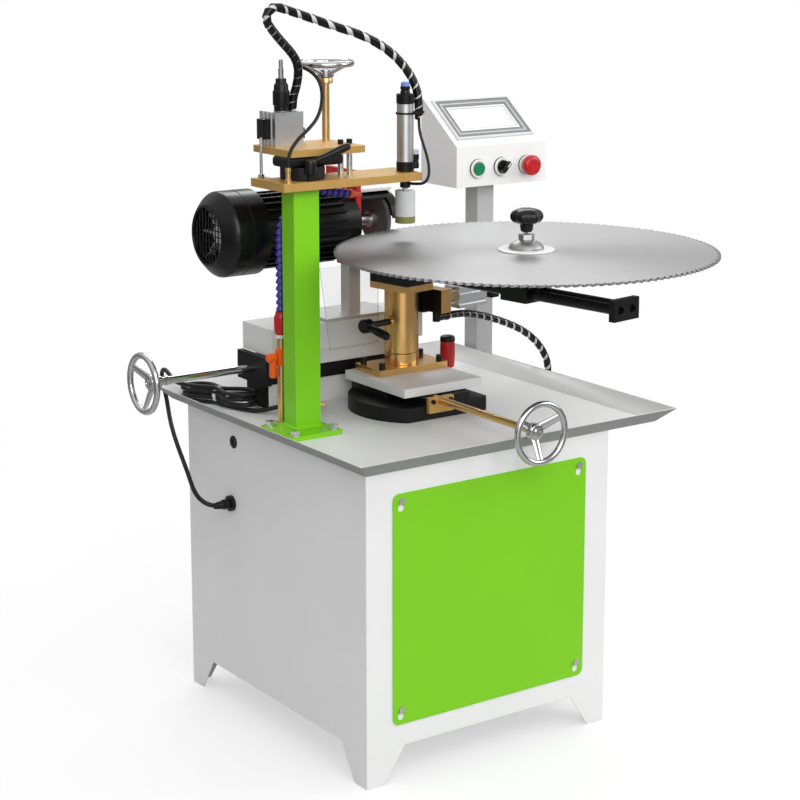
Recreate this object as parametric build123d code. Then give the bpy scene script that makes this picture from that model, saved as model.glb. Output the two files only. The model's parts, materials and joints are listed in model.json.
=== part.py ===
from build123d import *
import math
import os

os.makedirs("parts", exist_ok=True)

# Floor-standing automatic sharpener for circular saw blades, in millimetres.
# X runs to the operator's right, Y to the back and Z up from the floor, with the
# middle of the cabinet's footprint at zero until everything is moved at the end.

# Fits between pieces
RUNNING_FIT = 0.05      # radial room between a shaft and the bore it turns or slides in
SIDE_GAP = 0.4          # room between the flanks of a slide
PIECE_GAP = 0.5         # room between neighbouring pieces that move past each other

# Cabinet
CABINET_WIDTH = 504.0
CABINET_DEPTH = 576.0
CABINET_HEIGHT = 530.0
WALL = 2.0
FOOT_HEIGHT = 61.0
FOOT_FLOOR_WIDTH = 36.0
FOOT_APRON_WIDTH = 76.0
CABLE_HOLE_RADIUS = 9.0
CABLE_HOLE_BACK = 125.0     # behind the cabinet's middle
CABLE_HOLE_DROP = 34.0      # below the cabinet's top
GLAND_BACK = 134.0
GLAND_DROP = 147.0
FEED_GLAND_BACK = 124.0
FEED_GLAND_DROP = 68.0
GLAND_RADIUS = 9.0
GLAND_NUT_RADIUS = 14.0
GLAND_NUT_LENGTH = 7.0
GLAND_LENGTH = 18.0

# Front panel
PANEL_WIDTH = 402.0
PANEL_HEIGHT = 393.0
PANEL_SHEET = 2.0
PANEL_CORNER = 12.0
PANEL_TOP_DROP = 38.0
PANEL_SCREW_SIDE = 16.0
PANEL_SCREW_TOP = 12.0
PANEL_SCREW_BOTTOM = 26.0
KEYHOLE_DROP = 12.0
KEYHOLE_RADIUS = 6.5
PANEL_SCREW_SHANK = 2.5
PANEL_SCREW_HEAD = 5.5
PANEL_SCREW_HEAD_HEIGHT = 3.5

# Chip tray on top of the cabinet
TRAY_SHEET = 2.0
TRAY_RIGHT_OVERHANG = 106.0
TRAY_BACK_OVERHANG = 56.0
RIM_HEIGHT = 26.0
RIM_FLARE = 28.0

# Green column and the gold arm on it
COLUMN_FROM_LEFT = 71.0     # of the cabinet's left wall
COLUMN_Y = 11.0
COLUMN_WIDTH = 50.0
COLUMN_DEPTH = 38.0
COLUMN_WALL = 3.0
COLUMN_HEIGHT = 410.0
COLUMN_FOOT_WIDTH = 100.0
COLUMN_FOOT_DEPTH = 104.0
COLUMN_FOOT_LEFT = 9.0      # of the foot's middle from the column's
COLUMN_FOOT_FRONT = 11.0
COLUMN_FOOT_THICKNESS = 8.0
COLUMN_BOLT_INSET = 12.0
COLUMN_BOLT_SHANK = 5.0
COLUMN_BOLT_HEAD = 8.5
COLUMN_BOLT_HEAD_HEIGHT = 6.5
WASHER_RADIUS = 9.5
WASHER_THICKNESS = 2.0
ARM_LENGTH = 280.0
ARM_DEPTH = 87.0
ARM_THICKNESS = 14.0
ARM_LEFT_OF_COLUMN = 54.0   # from the column's middle to the arm's left end
ARM_FRONT_OF_COLUMN = 36.0  # from the column's middle to the arm's front edge
TONGUE_WIDTH = 30.0
TONGUE_DEPTH = 20.0
STOP_ROD_RADIUS = 2.5
STOP_ROD_HEIGHT = 68.0
STOP_NUT_RADIUS = 6.0
STOP_NUT_HEIGHT = 6.0

# Stroke unit standing on the arm
SWIVEL_RADIUS = 38.0
SWIVEL_HEIGHT = 22.0
SWIVEL_RIGHT = 13.0         # of the column's middle
SWIVEL_BACK = 13.0
SADDLE_WIDTH = 114.0
SADDLE_DEPTH = 50.0
SADDLE_HEIGHT = 18.0
SADDLE_SHIFT = 11.0
UPPER_WIDTH = 151.0
UPPER_DEPTH = 117.0
UPPER_THICKNESS = 12.0
UPPER_LEFT_OF_SWIVEL = 43.0
UPPER_FRONT_OF_SWIVEL = 29.0
STROKE_WIDTH = 56.0
STROKE_DEPTH = 51.0
STROKE_HEIGHT = 57.0
STROKE_INSET_LEFT = 13.0
STROKE_GROOVE_WIDTH = 6.0
STROKE_GROOVE_DEPTH = 2.5
STROKE_GROOVES = 3
STROKE_BORE = 18.0
STROKE_FLOOR = 8.0
NECK_RADIUS = 12.5
NECK_HEIGHT = 10.0
ADJUSTER_RADIUS = 14.5
ADJUSTER_HEIGHT = 45.0
STROKE_ROD_RADIUS = 4.5
STROKE_ROD_SHOWS = 32.0
STROKE_PISTON_HEIGHT = 12.0
SENSOR_THICKNESS = 15.0
SENSOR_DEPTH = 20.0
SENSOR_HEIGHT = 34.0
PORT_RADIUS = 5.0
PORT_LENGTH = 13.0
GUIDE_ROD_RADIUS = 5.0
GUIDE_ROD_INSET_X = 8.0
GUIDE_ROD_INSET_Y = 37.0
GUIDE_ROD_PITCH = 18.0
CAP_SCREW_RADIUS = 5.0
CAP_SCREW_HEIGHT = 8.0
DEPTH_SCREW_RADIUS = 6.5
DEPTH_SCREW_INSET_X = 14.0
DEPTH_SCREW_INSET_Y = 16.0
DEPTH_SCREW_BELOW = 30.0
DEPTH_SCREW_ABOVE = 109.0
DEPTH_COLLAR_RADIUS = 12.5
DEPTH_COLLAR_HEIGHT = 11.0
HOSE_PORT_LEFT = 52.0       # of the swivel's middle
HOSE_PORT_FRONT = 38.0
HOSE_PORT_HEIGHT = 26.0
LEVER_HUB_RADIUS = 11.0
LEVER_HUB_HEIGHT = 24.0
LEVER_STEM_RADIUS = 5.0
LEVER_STEM_HEIGHT = 12.0
LEVER_HANDLE_RADIUS = 6.5
LEVER_REACH = 72.0
LEVER_RISE = 26.0
LEVER_FRONT_OF_SWIVEL = 37.0
LEVER_LEFT_OF_SWIVEL = 8.0

# Handwheels
TOP_WHEEL_RADIUS = 50.0
SIDE_WHEEL_RADIUS = 55.0
WHEEL_RIM_RADIUS = 5.5
WHEEL_HUB_RADIUS = 14.0
WHEEL_HUB_LENGTH = 18.0
WHEEL_DISH = 24.0
WHEEL_SPOKES = 3
LEFT_WHEEL_TURN = 60.0      # of its spokes
FRONT_WHEEL_TURN = 30.0
SPOKE_WIDTH = 14.0
SPOKE_THICKNESS = 6.0

# Hold-down cylinder at the arm's right end
HOLD_INSET_X = 15.0
HOLD_INSET_Y = 30.0
HOLD_TUBE_RADIUS = 14.5
HOLD_TUBE_LENGTH = 100.0
HOLD_CAP_RADIUS = 15.5
HOLD_CAP_LENGTH = 17.0
HOLD_BORE = 12.5
HOLD_ROD_RADIUS = 5.0
HOLD_PISTON_HEIGHT = 12.0
HOLD_COLLAR_RADIUS = 9.0
HOLD_COLLAR_HEIGHT = 14.0
HOLD_ROD_BELOW = 4.5
PAD_RADIUS = 17.5
PAD_HEIGHT = 57.0
HOLD_PORT_RADIUS = 6.5
HOLD_PORT_OUT = 6.0
HOLD_FITTING_RADIUS = 8.5
HOLD_FITTING_HEIGHT = 20.0
HOLD_PORT_RISE = 28.0

# Grinding head: motor along X behind the column
MOTOR_FRONT_OF_SLIDE = 37.0 # from the rear slide's middle to the motor's axis
MOTOR_AXIS_RAISED = 326.0   # above the tray
FAN_COVER_RADIUS = 75.0
FAN_COVER_LENGTH = 87.0
FAN_COVER_NOSE = 52.0
FAN_COVER_TAPER = 22.0
FAN_COVER_WALL = 2.5
FAN_COVER_SIDES = 12
GRILLE_BARS = 5
GRILLE_BAR_WIDTH = 4.0
MOTOR_LEFT_OF_SLIDE = 120.0 # from the rear slide's left end to the motor's
MOTOR_BODY_LENGTH = 165.0
MOTOR_BODY_RADIUS = 60.0
FIN_RADIUS = 68.0
FIN_COUNT = 28
FIN_THICKNESS = 3.0
BELL_RADIUS = 50.0
BELL_LENGTH = 38.0
SHAFT_RADIUS = 9.5
SHAFT_BEYOND_PLATE = 66.0
FAN_RADIUS = 58.0
FAN_THICKNESS = 14.0
FAN_BLADES = 8
WHEEL_NUT_RADIUS = 15.0
WHEEL_NUT_LENGTH = 12.0
GRIND_WHEEL_RADIUS = 45.0
GRIND_WHEEL_THICKNESS = 8.0
GRIND_WHEEL_DISH = 4.0
GRIND_WHEEL_FROM_PLATE = 48.0
MOUNT_PLATE_THICKNESS = 10.0
MOUNT_PLATE_FRONT = 31.0    # ahead of the motor's axis
MOUNT_PLATE_BACK = 69.0
MOUNT_PLATE_TOP = 94.0
MOUNT_PLATE_BOTTOM = 32.0
GUARD_RADIUS = 53.0
GUARD_WALL = 2.5
GUARD_REACH = 72.0          # from the mounting plate to the closed end
GUARD_SKIRT = 6.0           # how far the skirt ends above the motor's axis
GUARD_LIP = 18.0            # of the closed end's rim, where the front is open
GUARD_OPEN_TOP = 42.0       # of the open front above the motor's axis
STRAP_DEPTH = 44.0
STRAP_THICKNESS = 6.0

# Rear cross slide that carries the grinding head
REAR_X0 = -157.0
REAR_LENGTH = 329.0
REAR_Y = 200.0
REAR_DEPTH = 100.0
RISER_HEIGHT = 46.0
RISER_DEPTH = 76.0
REAR_WAY_HEIGHT = 26.0
REAR_WAY_DEPTH = 84.0
REAR_DOVETAIL_HEIGHT = 10.0
REAR_DOVETAIL_BOTTOM = 44.0
REAR_DOVETAIL_TOP = 56.0
REAR_SADDLE_HEIGHT = 26.0
REAR_SADDLE_SHORTER = 22.0
BOX_HEIGHT = 50.0
BOX_WALL = 3.0
POST_PLATE_THICKNESS = 6.0
POST_PLATE_LENGTH = 150.0
HEAD_POST_SIZE = 26.0
HEAD_POST_LENGTH = 122.0
HEAD_SLEEVE_WALL = 5.0
HEAD_SLEEVE_HEIGHT = 50.0
SPLASH_THICKNESS = 2.0
SPLASH_WIDTH = 106.0
SPLASH_TOP_NARROWER = 20.0
SPLASH_HEIGHT = 150.0
SPLASH_FROM_LEFT = 122.0
LEFT_SHAFT_RADIUS = 7.0
LEFT_SHAFT_SHOWS = 193.0
LEFT_SHAFT_INSIDE = 180.0
REAR_END_THICKNESS = 12.0

# Front slide that carries the saw blade
SLIDE_X = 76.0
SLIDE_Y = 46.0
FRONT_BASE_RADIUS = 125.0
FRONT_BASE_Y = 32.0
FRONT_BASE_FRONT = -60.0
FRONT_BASE_RIGHT = 89.0     # right of the slide's middle
FRONT_BASE_HEIGHT = 26.0
FRONT_DOVETAIL_HEIGHT = 14.0
FRONT_DOVETAIL_BOTTOM = 90.0
FRONT_DOVETAIL_TOP = 100.0
FRONT_SADDLE_HEIGHT = 16.0
FRONT_SADDLE_WIDTH = 150.0
FRONT_SADDLE_LENGTH = 112.0
FRONT_TRAVEL = 80.0
SLIDE_PLATE_WIDTH = 168.0
SLIDE_PLATE_LENGTH = 187.0
SLIDE_PLATE_THICKNESS = 16.0
FRONT_SCREW_X = 57.0
FRONT_SCREW_RADIUS = 6.5
FRONT_SCREW_RAISED = 34.0   # above the tray
FRONT_SCREW_SHOWS = 252.0
FRONT_SCREW_INSIDE = 150.0
SCREW_CHANNEL = 1.5         # room round a screw inside a slide
NUT_WALL = 3.0
NUT_LENGTH = 20.0
NUT_BACK = 20.0             # behind the front end of the slide's rails
BEARING_WIDTH = 53.0
BEARING_HEIGHT = 28.0
BEARING_THICKNESS = 8.0
BEARING_UNDER_PLATE = 1.0
BEARING_BOLT_PITCH = 38.0
BEARING_BOLT_RADIUS = 4.0
BEARING_BOLT_HEIGHT = 4.0
LOCK_X = 190.0
LOCK_Y = 96.0
LOCK_PIVOT_HEIGHT = 26.0
LOCK_EYE_RADIUS = 9.0
LOCK_EYE_WIDTH = 10.0
LOCK_PIN_RADIUS = 4.0
LOCK_EAR_THICKNESS = 6.0
LOCK_STEM_RADIUS = 5.0
LOCK_GRIP_RADIUS = 14.0
LOCK_GRIP_START = 20.0      # above the pivot
LOCK_GRIP_LENGTH = 60.0
LOCK_BASE_THICKNESS = 8.0

# Gold post that the blade arm swings on
POST_X = 84.0
POST_Y = 93.0
POST_FOOT_WIDTH = 148.0
POST_FOOT_DEPTH = 82.0
POST_FOOT_THICKNESS = 12.0
POST_RADIUS = 31.0
POST_COLLAR_HEIGHT = 20.0
POST_GROOVE = 2.0
POST_GROOVE_DEPTH = 3.0
POST_PIN_RADIUS = 20.0
POST_SLEEVE_HEIGHT = 114.0
POST_BOLT_INSET = 11.0
POST_BOLT_RADIUS = 6.0
POST_BOLT_HEIGHT = 11.0
FLANGE_WIDTH = 66.0
FLANGE_DEPTH = 96.0
FLANGE_THICKNESS = 12.0
CLAMP_HEIGHT = 57.0         # of the clamp's stud above the sleeve's foot
CLAMP_STUD_RADIUS = 6.0
CLAMP_STUD_LENGTH = 42.0
CLAMP_HUB_RADIUS = 13.0
CLAMP_HUB_LENGTH = 20.0
CLAMP_HANDLE_RADIUS = 7.5
CLAMP_REACH = 58.0
CLAMP_DROP = 12.0
CLAMP_BOSS_RADIUS = 11.0
CLAMP_BOSS_LENGTH = 4.0

# Blade arm, laid out along -Y from the post and then swung to the right
ARM_SWING = 9.0
HEAD_BLOCK_HEIGHT = 42.0
BAR_RADIUS = 9.0
BAR_PITCH = 30.0
BAR_HEIGHT = 24.0           # of the bars' axis above the flange
BAR_BACK = 36.0
BAR_LENGTH = 548.0
END_PLATE_WIDTH = 62.0
END_PLATE_HEIGHT = 36.0
END_PLATE_THICKNESS = 12.0
END_SCREW_RADIUS = 6.0
END_SCREW_SINK = 4.0
ARBOR_REACH = 303.0
SLIDER_WIDTH = 64.0
SLIDER_LENGTH = 58.0
SLIDER_BELOW = 14.0
SLIDER_ABOVE = 20.0
HOUSING_RADIUS = 30.0
HOUSING_HEIGHT = 28.0
SPINDLE_RADIUS = 12.0
SPINDLE_DEPTH = 36.0
LOWER_FLANGE_RADIUS = 45.0
LOWER_FLANGE_HEIGHT = 18.0
BLADE_RADIUS = 325.0
BLADE_THICKNESS = 4.0
BLADE_TEETH = 144
TOOTH_DEPTH = 8.0
HOOK_SHARE = 0.22           # share of a tooth's pitch that its face leans forward
LAND_SHARE = 0.16
BLADE_BORE = 15.0
STUD_RADIUS = 8.0
CLAMP_DISC_RADIUS = 48.0
CLAMP_DISC_THICKNESS = 3.0
DOME_RADIUS = 30.0
DOME_HEIGHT = 15.0
DOME_TOP_RADIUS = 15.0
CLAMP_NUT_RADIUS = 12.5
CLAMP_NUT_HEIGHT = 11.0
KNOB_STEM_RADIUS = 11.0
KNOB_STEM_HEIGHT = 17.0
KNOB_RADIUS = 29.0
KNOB_HEIGHT = 26.0
KNOB_LOBES = 6
KNOB_SCALLOP = 9.0

# Tooth feed unit hanging beside the post
BRACKET_THICKNESS = 14.0
BRACKET_DEPTH = 24.0
BRACKET_HEIGHT = 58.0
FEED_BLOCK_FRONT = 55.0     # of the post's axis
FEED_BLOCK_WIDTH = 25.0
FEED_BLOCK_DEPTH = 50.0
FEED_BLOCK_HEIGHT = 43.0
ELBOW_DROP = 12.0
ELBOW_RADIUS = 7.0
ELBOW_REACH = 24.0
STANDOFF_LENGTH = 28.0
STANDOFF_RADIUS = 5.0
STANDOFF_PITCH = 22.0
FEED_LENGTH = 72.0
FEED_SIZE = 40.0
FEED_GROOVE_WIDTH = 7.0
FEED_GROOVE_DEPTH = 3.0
FEED_BORE = 13.0
FEED_END_WALL = 10.0
FEED_ROD_RADIUS = 6.0
FEED_PISTON_LENGTH = 12.0
FEED_ROD_SHOWS = 16.0
PAWL_WIDTH = 20.0
PAWL_DEPTH = 34.0
PAWL_FOOT_HEIGHT = 24.0
PAWL_FINGER_WIDTH = 12.0
PAWL_FINGER_DEPTH = 14.0
PAWL_UNDER_BLADE = 2.5

# Control console on its post
CONSOLE_LEFT_OF_POST = 95.0 # from the post's middle to the console's left end
CONSOLE_WIDTH = 219.0
CONSOLE_FRONT_OF_POST = 52.0
CONSOLE_DEPTH = 117.0
CONSOLE_RAISED = 354.0      # above the cabinet
CONSOLE_FRONT_HEIGHT = 79.0
CONSOLE_BACK_HEIGHT = 163.0
CONSOLE_TOP_FLAT = 7.0
CONSOLE_WALL = 2.5
SCREEN_WIDTH = 188.0
SCREEN_LENGTH = 112.0
SCREEN_RAISED = 4.0
SCREEN_SINK = 1.5
SCREEN_BORDER = 18.0
SCREEN_CORNER = 5.0
SCREEN_SHIFT = 3.0          # of the screen toward the console's left
SCREEN_UP = 5.0             # of the screen up the slope
BUTTON_HEIGHT = 35.0
BUTTON_XS = (50.0, 108.0, 169.0)
BUTTON_BEZEL_RADIUS = 18.0
BUTTON_BEZEL_LENGTH = 5.0
BUTTON_RADIUS = 13.0
BUTTON_SHANK = 9.0
BUTTON_OUT = 4.0
BUTTON_INSIDE = 14.0
SELECTOR_LENGTH = 12.0
SELECTOR_BLADE = 8.0
STOP_RADIUS = 20.0
STOP_HEAD_LENGTH = 14.0
STOP_GAP = 8.0
CONSOLE_POST_SIZE = 40.0
CONSOLE_POST_WALL = 2.5
CONSOLE_POST_GAP = 9.0      # from the tray's rim to the post
CONSOLE_POST_BACK = 9.0     # behind the cabinet's back wall
CONSOLE_LEG_DROP = 64.0     # below the cabinet's top
CONSOLE_FLANGE_SIZE = 84.0
CONSOLE_FLANGE_THICKNESS = 6.0

# Coolant line
COOLANT_LEFT = 10.0         # of the column's middle
COOLANT_BACK = 51.0
PIPE_RADIUS = 7.0
TAP_BODY_RADIUS = 10.0
TAP_BODY_HEIGHT = 30.0
TAP_HEIGHT = 106.0          # of the tap's body above the tray
TAP_HANDLE_DOWN = 36.0
TAP_HANDLE_WIDTH = 12.0
TAP_HANDLE_THICKNESS = 10.0
TAP_BOSS_RADIUS = 8.0
TAP_BOSS_LENGTH = 16.0
TAP_STEM_RADIUS = 3.5
TAP_STEM_GAP = 2.0
PIPE_ABOVE_TAP = 18.0
VALVE_RADIUS = 12.0
VALVE_HEIGHT = 46.0
BEAD_RADIUS = 8.0
BEAD_WAIST = 5.0
BEAD_PITCH = 12.0
BEAD_COUNT = 26
STRAIGHT_BEAD_COUNT = 10    # beads that stand straight up before the bend
BEND_BEAD_COUNT = 11        # beads in the bend
BEND_TURN = 9.0             # degrees from bead to bead in the bend
NOZZLE_LENGTH = 26.0
NOZZLE_TIP_RADIUS = 3.0

# Hoses and the power cord
WRAP_DIAMETER = 15.0        # hose bundle in spiral wrap
WRAP_RIGHT = 22.5           # of the stroke cylinder's middle
BRANCH_RADIUS = 4.5
BRANCH_LENGTH = 12.0
THIN_DIAMETER = 6.0
DROP_DIAMETER = 5.0
FEED_HOSE_DIAMETER = 13.0
FEED_HOSE_ROOM = 6.5        # from the elbow to the hose, for the arm's swing
CORD_DIAMETER = 8.0
CORD_FILL = 0.45            # share of a run that each of its bends may take
HANK_RIGHT = 46.0           # of the cabinet's left wall
HANK_BACK = 254.0
HANK_ALONG = (0.25, -0.968)
HANK_HALF_LENGTH = 84.0
HANK_HALF_WIDTH = 27.0
HANK_WAIST = 7.0            # half the width where the hank is tied
HANK_LOOPS = 3
HANK_ROOM = 1.0             # room between one loop and the next
HANK_SEAT = 0.3             # room between the tray and what lies on it
LOOP_LENGTHS = (1.0, 0.93, 1.04)    # of each loop, as shares of the plain one
LOOP_WIDTHS = (1.0, 1.06, 0.9)
LOBE = ((0.24, 0.62), (0.52, 1.0), (0.8, 0.92), (1.0, 0.45))    # from the waist to a loop's end
PLUG_RADIUS = 13.0
PLUG_LENGTH = 42.0
PLUG_NECK_RADIUS = 7.0
PLUG_NECK_LENGTH = 12.0
PIN_SIZE = 4.0
PIN_LENGTH = 18.0
PIN_SPREAD = 6.5

# Places and heights that follow from the sizes above
LEFT_WALL = -CABINET_WIDTH / 2
RIGHT_WALL = CABINET_WIDTH / 2
TRAY_TOP = CABINET_HEIGHT + TRAY_SHEET
RIM_TOP = CABINET_HEIGHT + RIM_HEIGHT
COLUMN_X = LEFT_WALL + COLUMN_FROM_LEFT
SWIVEL_X = COLUMN_X + SWIVEL_RIGHT
SWIVEL_Y = COLUMN_Y + SWIVEL_BACK
COOLANT_X = COLUMN_X - COOLANT_LEFT
COOLANT_Y = COLUMN_Y + COOLANT_BACK
COLUMN_FOOT_TOP = TRAY_TOP + COLUMN_FOOT_THICKNESS
COLUMN_TOP = COLUMN_FOOT_TOP + COLUMN_HEIGHT
ARM_TOP = COLUMN_TOP + ARM_THICKNESS
SWIVEL_TOP = ARM_TOP + SWIVEL_HEIGHT
UPPER_BOTTOM = SWIVEL_TOP + SADDLE_HEIGHT
UPPER_TOP = UPPER_BOTTOM + UPPER_THICKNESS
STROKE_TOP = UPPER_TOP + STROKE_HEIGHT
ADJUSTER_TOP = STROKE_TOP + NECK_HEIGHT + ADJUSTER_HEIGHT
FRONT_BASE_TOP = TRAY_TOP + FRONT_BASE_HEIGHT
SLIDE_PLATE_BOTTOM = FRONT_BASE_TOP + FRONT_SADDLE_HEIGHT
SLIDE_PLATE_TOP = SLIDE_PLATE_BOTTOM + SLIDE_PLATE_THICKNESS
POST_FOOT_TOP = SLIDE_PLATE_TOP + POST_FOOT_THICKNESS
POST_COLLAR_TOP = POST_FOOT_TOP + POST_COLLAR_HEIGHT
SLEEVE_BOTTOM = POST_COLLAR_TOP + POST_GROOVE
FLANGE_BOTTOM = SLEEVE_BOTTOM + POST_SLEEVE_HEIGHT
FLANGE_TOP = FLANGE_BOTTOM + FLANGE_THICKNESS
BAR_Z = FLANGE_TOP + BAR_HEIGHT
SLIDER_TOP = BAR_Z + SLIDER_ABOVE
HOUSING_TOP = SLIDER_TOP + HOUSING_HEIGHT
BLADE_BOTTOM = HOUSING_TOP + PIECE_GAP + LOWER_FLANGE_HEIGHT
BLADE_TOP = BLADE_BOTTOM + BLADE_THICKNESS
RISER_TOP = TRAY_TOP + RISER_HEIGHT
REAR_WAY_TOP = RISER_TOP + REAR_WAY_HEIGHT
BOX_BOTTOM = REAR_WAY_TOP + REAR_SADDLE_HEIGHT
BOX_TOP = BOX_BOTTOM + BOX_HEIGHT
POST_PLATE_TOP = BOX_TOP + POST_PLATE_THICKNESS
FRONT_SCREW_Z = TRAY_TOP + FRONT_SCREW_RAISED
LEFT_SHAFT_Z = REAR_WAY_TOP
MOTOR_AXIS_Y = REAR_Y - MOTOR_FRONT_OF_SLIDE
MOTOR_AXIS_Z = TRAY_TOP + MOTOR_AXIS_RAISED
MOTOR_LEFT_X = REAR_X0 - MOTOR_LEFT_OF_SLIDE
MOUNT_X = MOTOR_LEFT_X + FAN_COVER_LENGTH + MOTOR_BODY_LENGTH + BELL_LENGTH
GRIND_WHEEL_X = MOUNT_X + MOUNT_PLATE_THICKNESS + GRIND_WHEEL_FROM_PLATE
TRAY_RIGHT = RIGHT_WALL + TRAY_RIGHT_OVERHANG + RIM_FLARE
CONSOLE_POST_X = TRAY_RIGHT + CONSOLE_POST_GAP + CONSOLE_POST_SIZE / 2
CONSOLE_POST_Y = CABINET_DEPTH / 2 + CONSOLE_POST_BACK
CONSOLE_LEG_BOTTOM = CABINET_HEIGHT - CONSOLE_LEG_DROP
CONSOLE_X0 = CONSOLE_POST_X - CONSOLE_LEFT_OF_POST
CONSOLE_FRONT = CONSOLE_POST_Y - CONSOLE_FRONT_OF_POST
CONSOLE_BOTTOM = CABINET_HEIGHT + CONSOLE_RAISED

BASE = (Align.CENTER, Align.CENTER, Align.MIN)
CORNER = (Align.MIN, Align.MIN, Align.MIN)

nodes = {}
hose_ends = {}
cords = {}


def bar(x, y, z):
    """A block between two values along each axis."""
    return Pos(x[0], y[0], z[0]) * Box(x[1] - x[0], y[1] - y[0], z[1] - z[0], align=CORNER)


def around(centre, size):
    """The two ends of a length that is centred on a value."""
    return (centre - size / 2, centre + size / 2)


def upright(x, y, z, radius):
    """A cylinder along Z."""
    return Pos(x, y, z[0]) * Cylinder(radius, z[1] - z[0], align=BASE)


def along_x(x, y, z, radius):
    """A cylinder along X."""
    return Pos(x[0], y, z) * Rot(0, 90, 0) * Cylinder(radius, x[1] - x[0], align=BASE)


def along_y(x, y, z, radius):
    """A cylinder along Y."""
    return Pos(x, y[1], z) * Rot(90, 0, 0) * Cylinder(radius, y[1] - y[0], align=BASE)


def prism_x(points, x):
    """A block along X with its outline given as (y, z) points."""
    plane = Plane((x[0], 0, 0), x_dir=(0, 1, 0), z_dir=(1, 0, 0))
    return extrude(plane * Polygon(*points, align=None), x[1] - x[0], dir=(1, 0, 0))


def prism_y(points, y):
    """A block along Y with its outline given as (x, z) points."""
    plane = Plane((0, y[1], 0), x_dir=(1, 0, 0), z_dir=(0, -1, 0))
    return extrude(plane * Polygon(*points, align=None), y[1] - y[0], dir=(0, -1, 0))


def cone_up(x, y, z, low, high):
    """A cone frustum along Z."""
    return Pos(x, y, z[0]) * Cone(low, high, z[1] - z[0], align=BASE)


def round_link(start, end, radius):
    """A round bar with ball ends between two points."""
    line = Vector(*end) - Vector(*start)
    plane = Plane(origin=start, z_dir=line)
    body = plane * Cylinder(radius, line.length, align=BASE)
    return body + Pos(*start) * Sphere(radius) + Pos(*end) * Sphere(radius)


def handwheel(radius, bore):
    """A three-spoke handwheel on +Z, with its hub standing on zero and its rim dished outward."""
    hub = Cylinder(WHEEL_HUB_RADIUS, WHEEL_HUB_LENGTH, align=BASE)
    rim = Pos(0, 0, WHEEL_DISH) * Torus(radius - WHEEL_RIM_RADIUS, WHEEL_RIM_RADIUS)
    wheel = Rot(0, 0, 180 / WHEEL_SPOKES) * (hub + rim)
    inner = WHEEL_HUB_RADIUS - SPOKE_THICKNESS
    outer = radius - WHEEL_RIM_RADIUS
    low = SPOKE_THICKNESS
    spoke_outline = [
        (inner, low - SPOKE_THICKNESS / 2),
        (outer, WHEEL_DISH - SPOKE_THICKNESS / 2),
        (outer, WHEEL_DISH + SPOKE_THICKNESS / 2),
        (inner, low + SPOKE_THICKNESS / 2),
    ]
    spoke = prism_y(spoke_outline, around(0, SPOKE_WIDTH))
    for turn in range(WHEEL_SPOKES):
        wheel += Rot(0, 0, turn * 360 / WHEEL_SPOKES) * spoke
    return wheel - Cylinder(bore, WHEEL_HUB_LENGTH * 3)


# Cabinet walls with tapered feet, and the left wall's two holes
def wall_outline(length):
    half = length / 2
    return [
        (-half, 0),
        (-half + FOOT_FLOOR_WIDTH, 0),
        (-half + FOOT_APRON_WIDTH, FOOT_HEIGHT),
        (half - FOOT_APRON_WIDTH, FOOT_HEIGHT),
        (half - FOOT_FLOOR_WIDTH, 0),
        (half, 0),
        (half, CABINET_HEIGHT),
        (-half, CABINET_HEIGHT),
    ]


def make_cabinet():
    half_w = CABINET_WIDTH / 2
    half_d = CABINET_DEPTH / 2
    front = prism_y(wall_outline(CABINET_WIDTH), (-half_d, -half_d + WALL))
    back = prism_y(wall_outline(CABINET_WIDTH), (half_d - WALL, half_d))
    side_outline = [
        (y * (half_d - WALL) / half_d, z) if abs(y) == half_d else (y, z)
        for y, z in wall_outline(CABINET_DEPTH)
    ]
    left = prism_x(side_outline, (-half_w, -half_w + WALL))
    right = prism_x(side_outline, (half_w - WALL, half_w))
    wall_x = (-half_w - WALL, -half_w + 2 * WALL)
    left -= along_x(wall_x, CABLE_HOLE_BACK, CABINET_HEIGHT - CABLE_HOLE_DROP, CABLE_HOLE_RADIUS)
    left -= along_x(wall_x, GLAND_BACK, CABINET_HEIGHT - GLAND_DROP, GLAND_RADIUS)
    feed_z = CABINET_HEIGHT - FEED_GLAND_DROP
    wall_x = (half_w - 2 * WALL, half_w + WALL)
    right -= along_x(wall_x, FEED_GLAND_BACK, feed_z, GLAND_RADIUS)
    gland = along_x((-WALL, GLAND_LENGTH), 0, 0, GLAND_RADIUS)
    gland += along_x((0, GLAND_NUT_LENGTH), 0, 0, GLAND_NUT_RADIUS)
    left_gland = Pos(-half_w, GLAND_BACK, CABINET_HEIGHT - GLAND_DROP) * Rot(0, 0, 180) * gland
    right_gland = Pos(half_w, FEED_GLAND_BACK, feed_z) * gland
    nodes["cabinet_ends"] = Compound(children=[front, back])
    nodes["cabinet_sides"] = Compound(children=[left, right, left_gland, right_gland])


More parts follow.
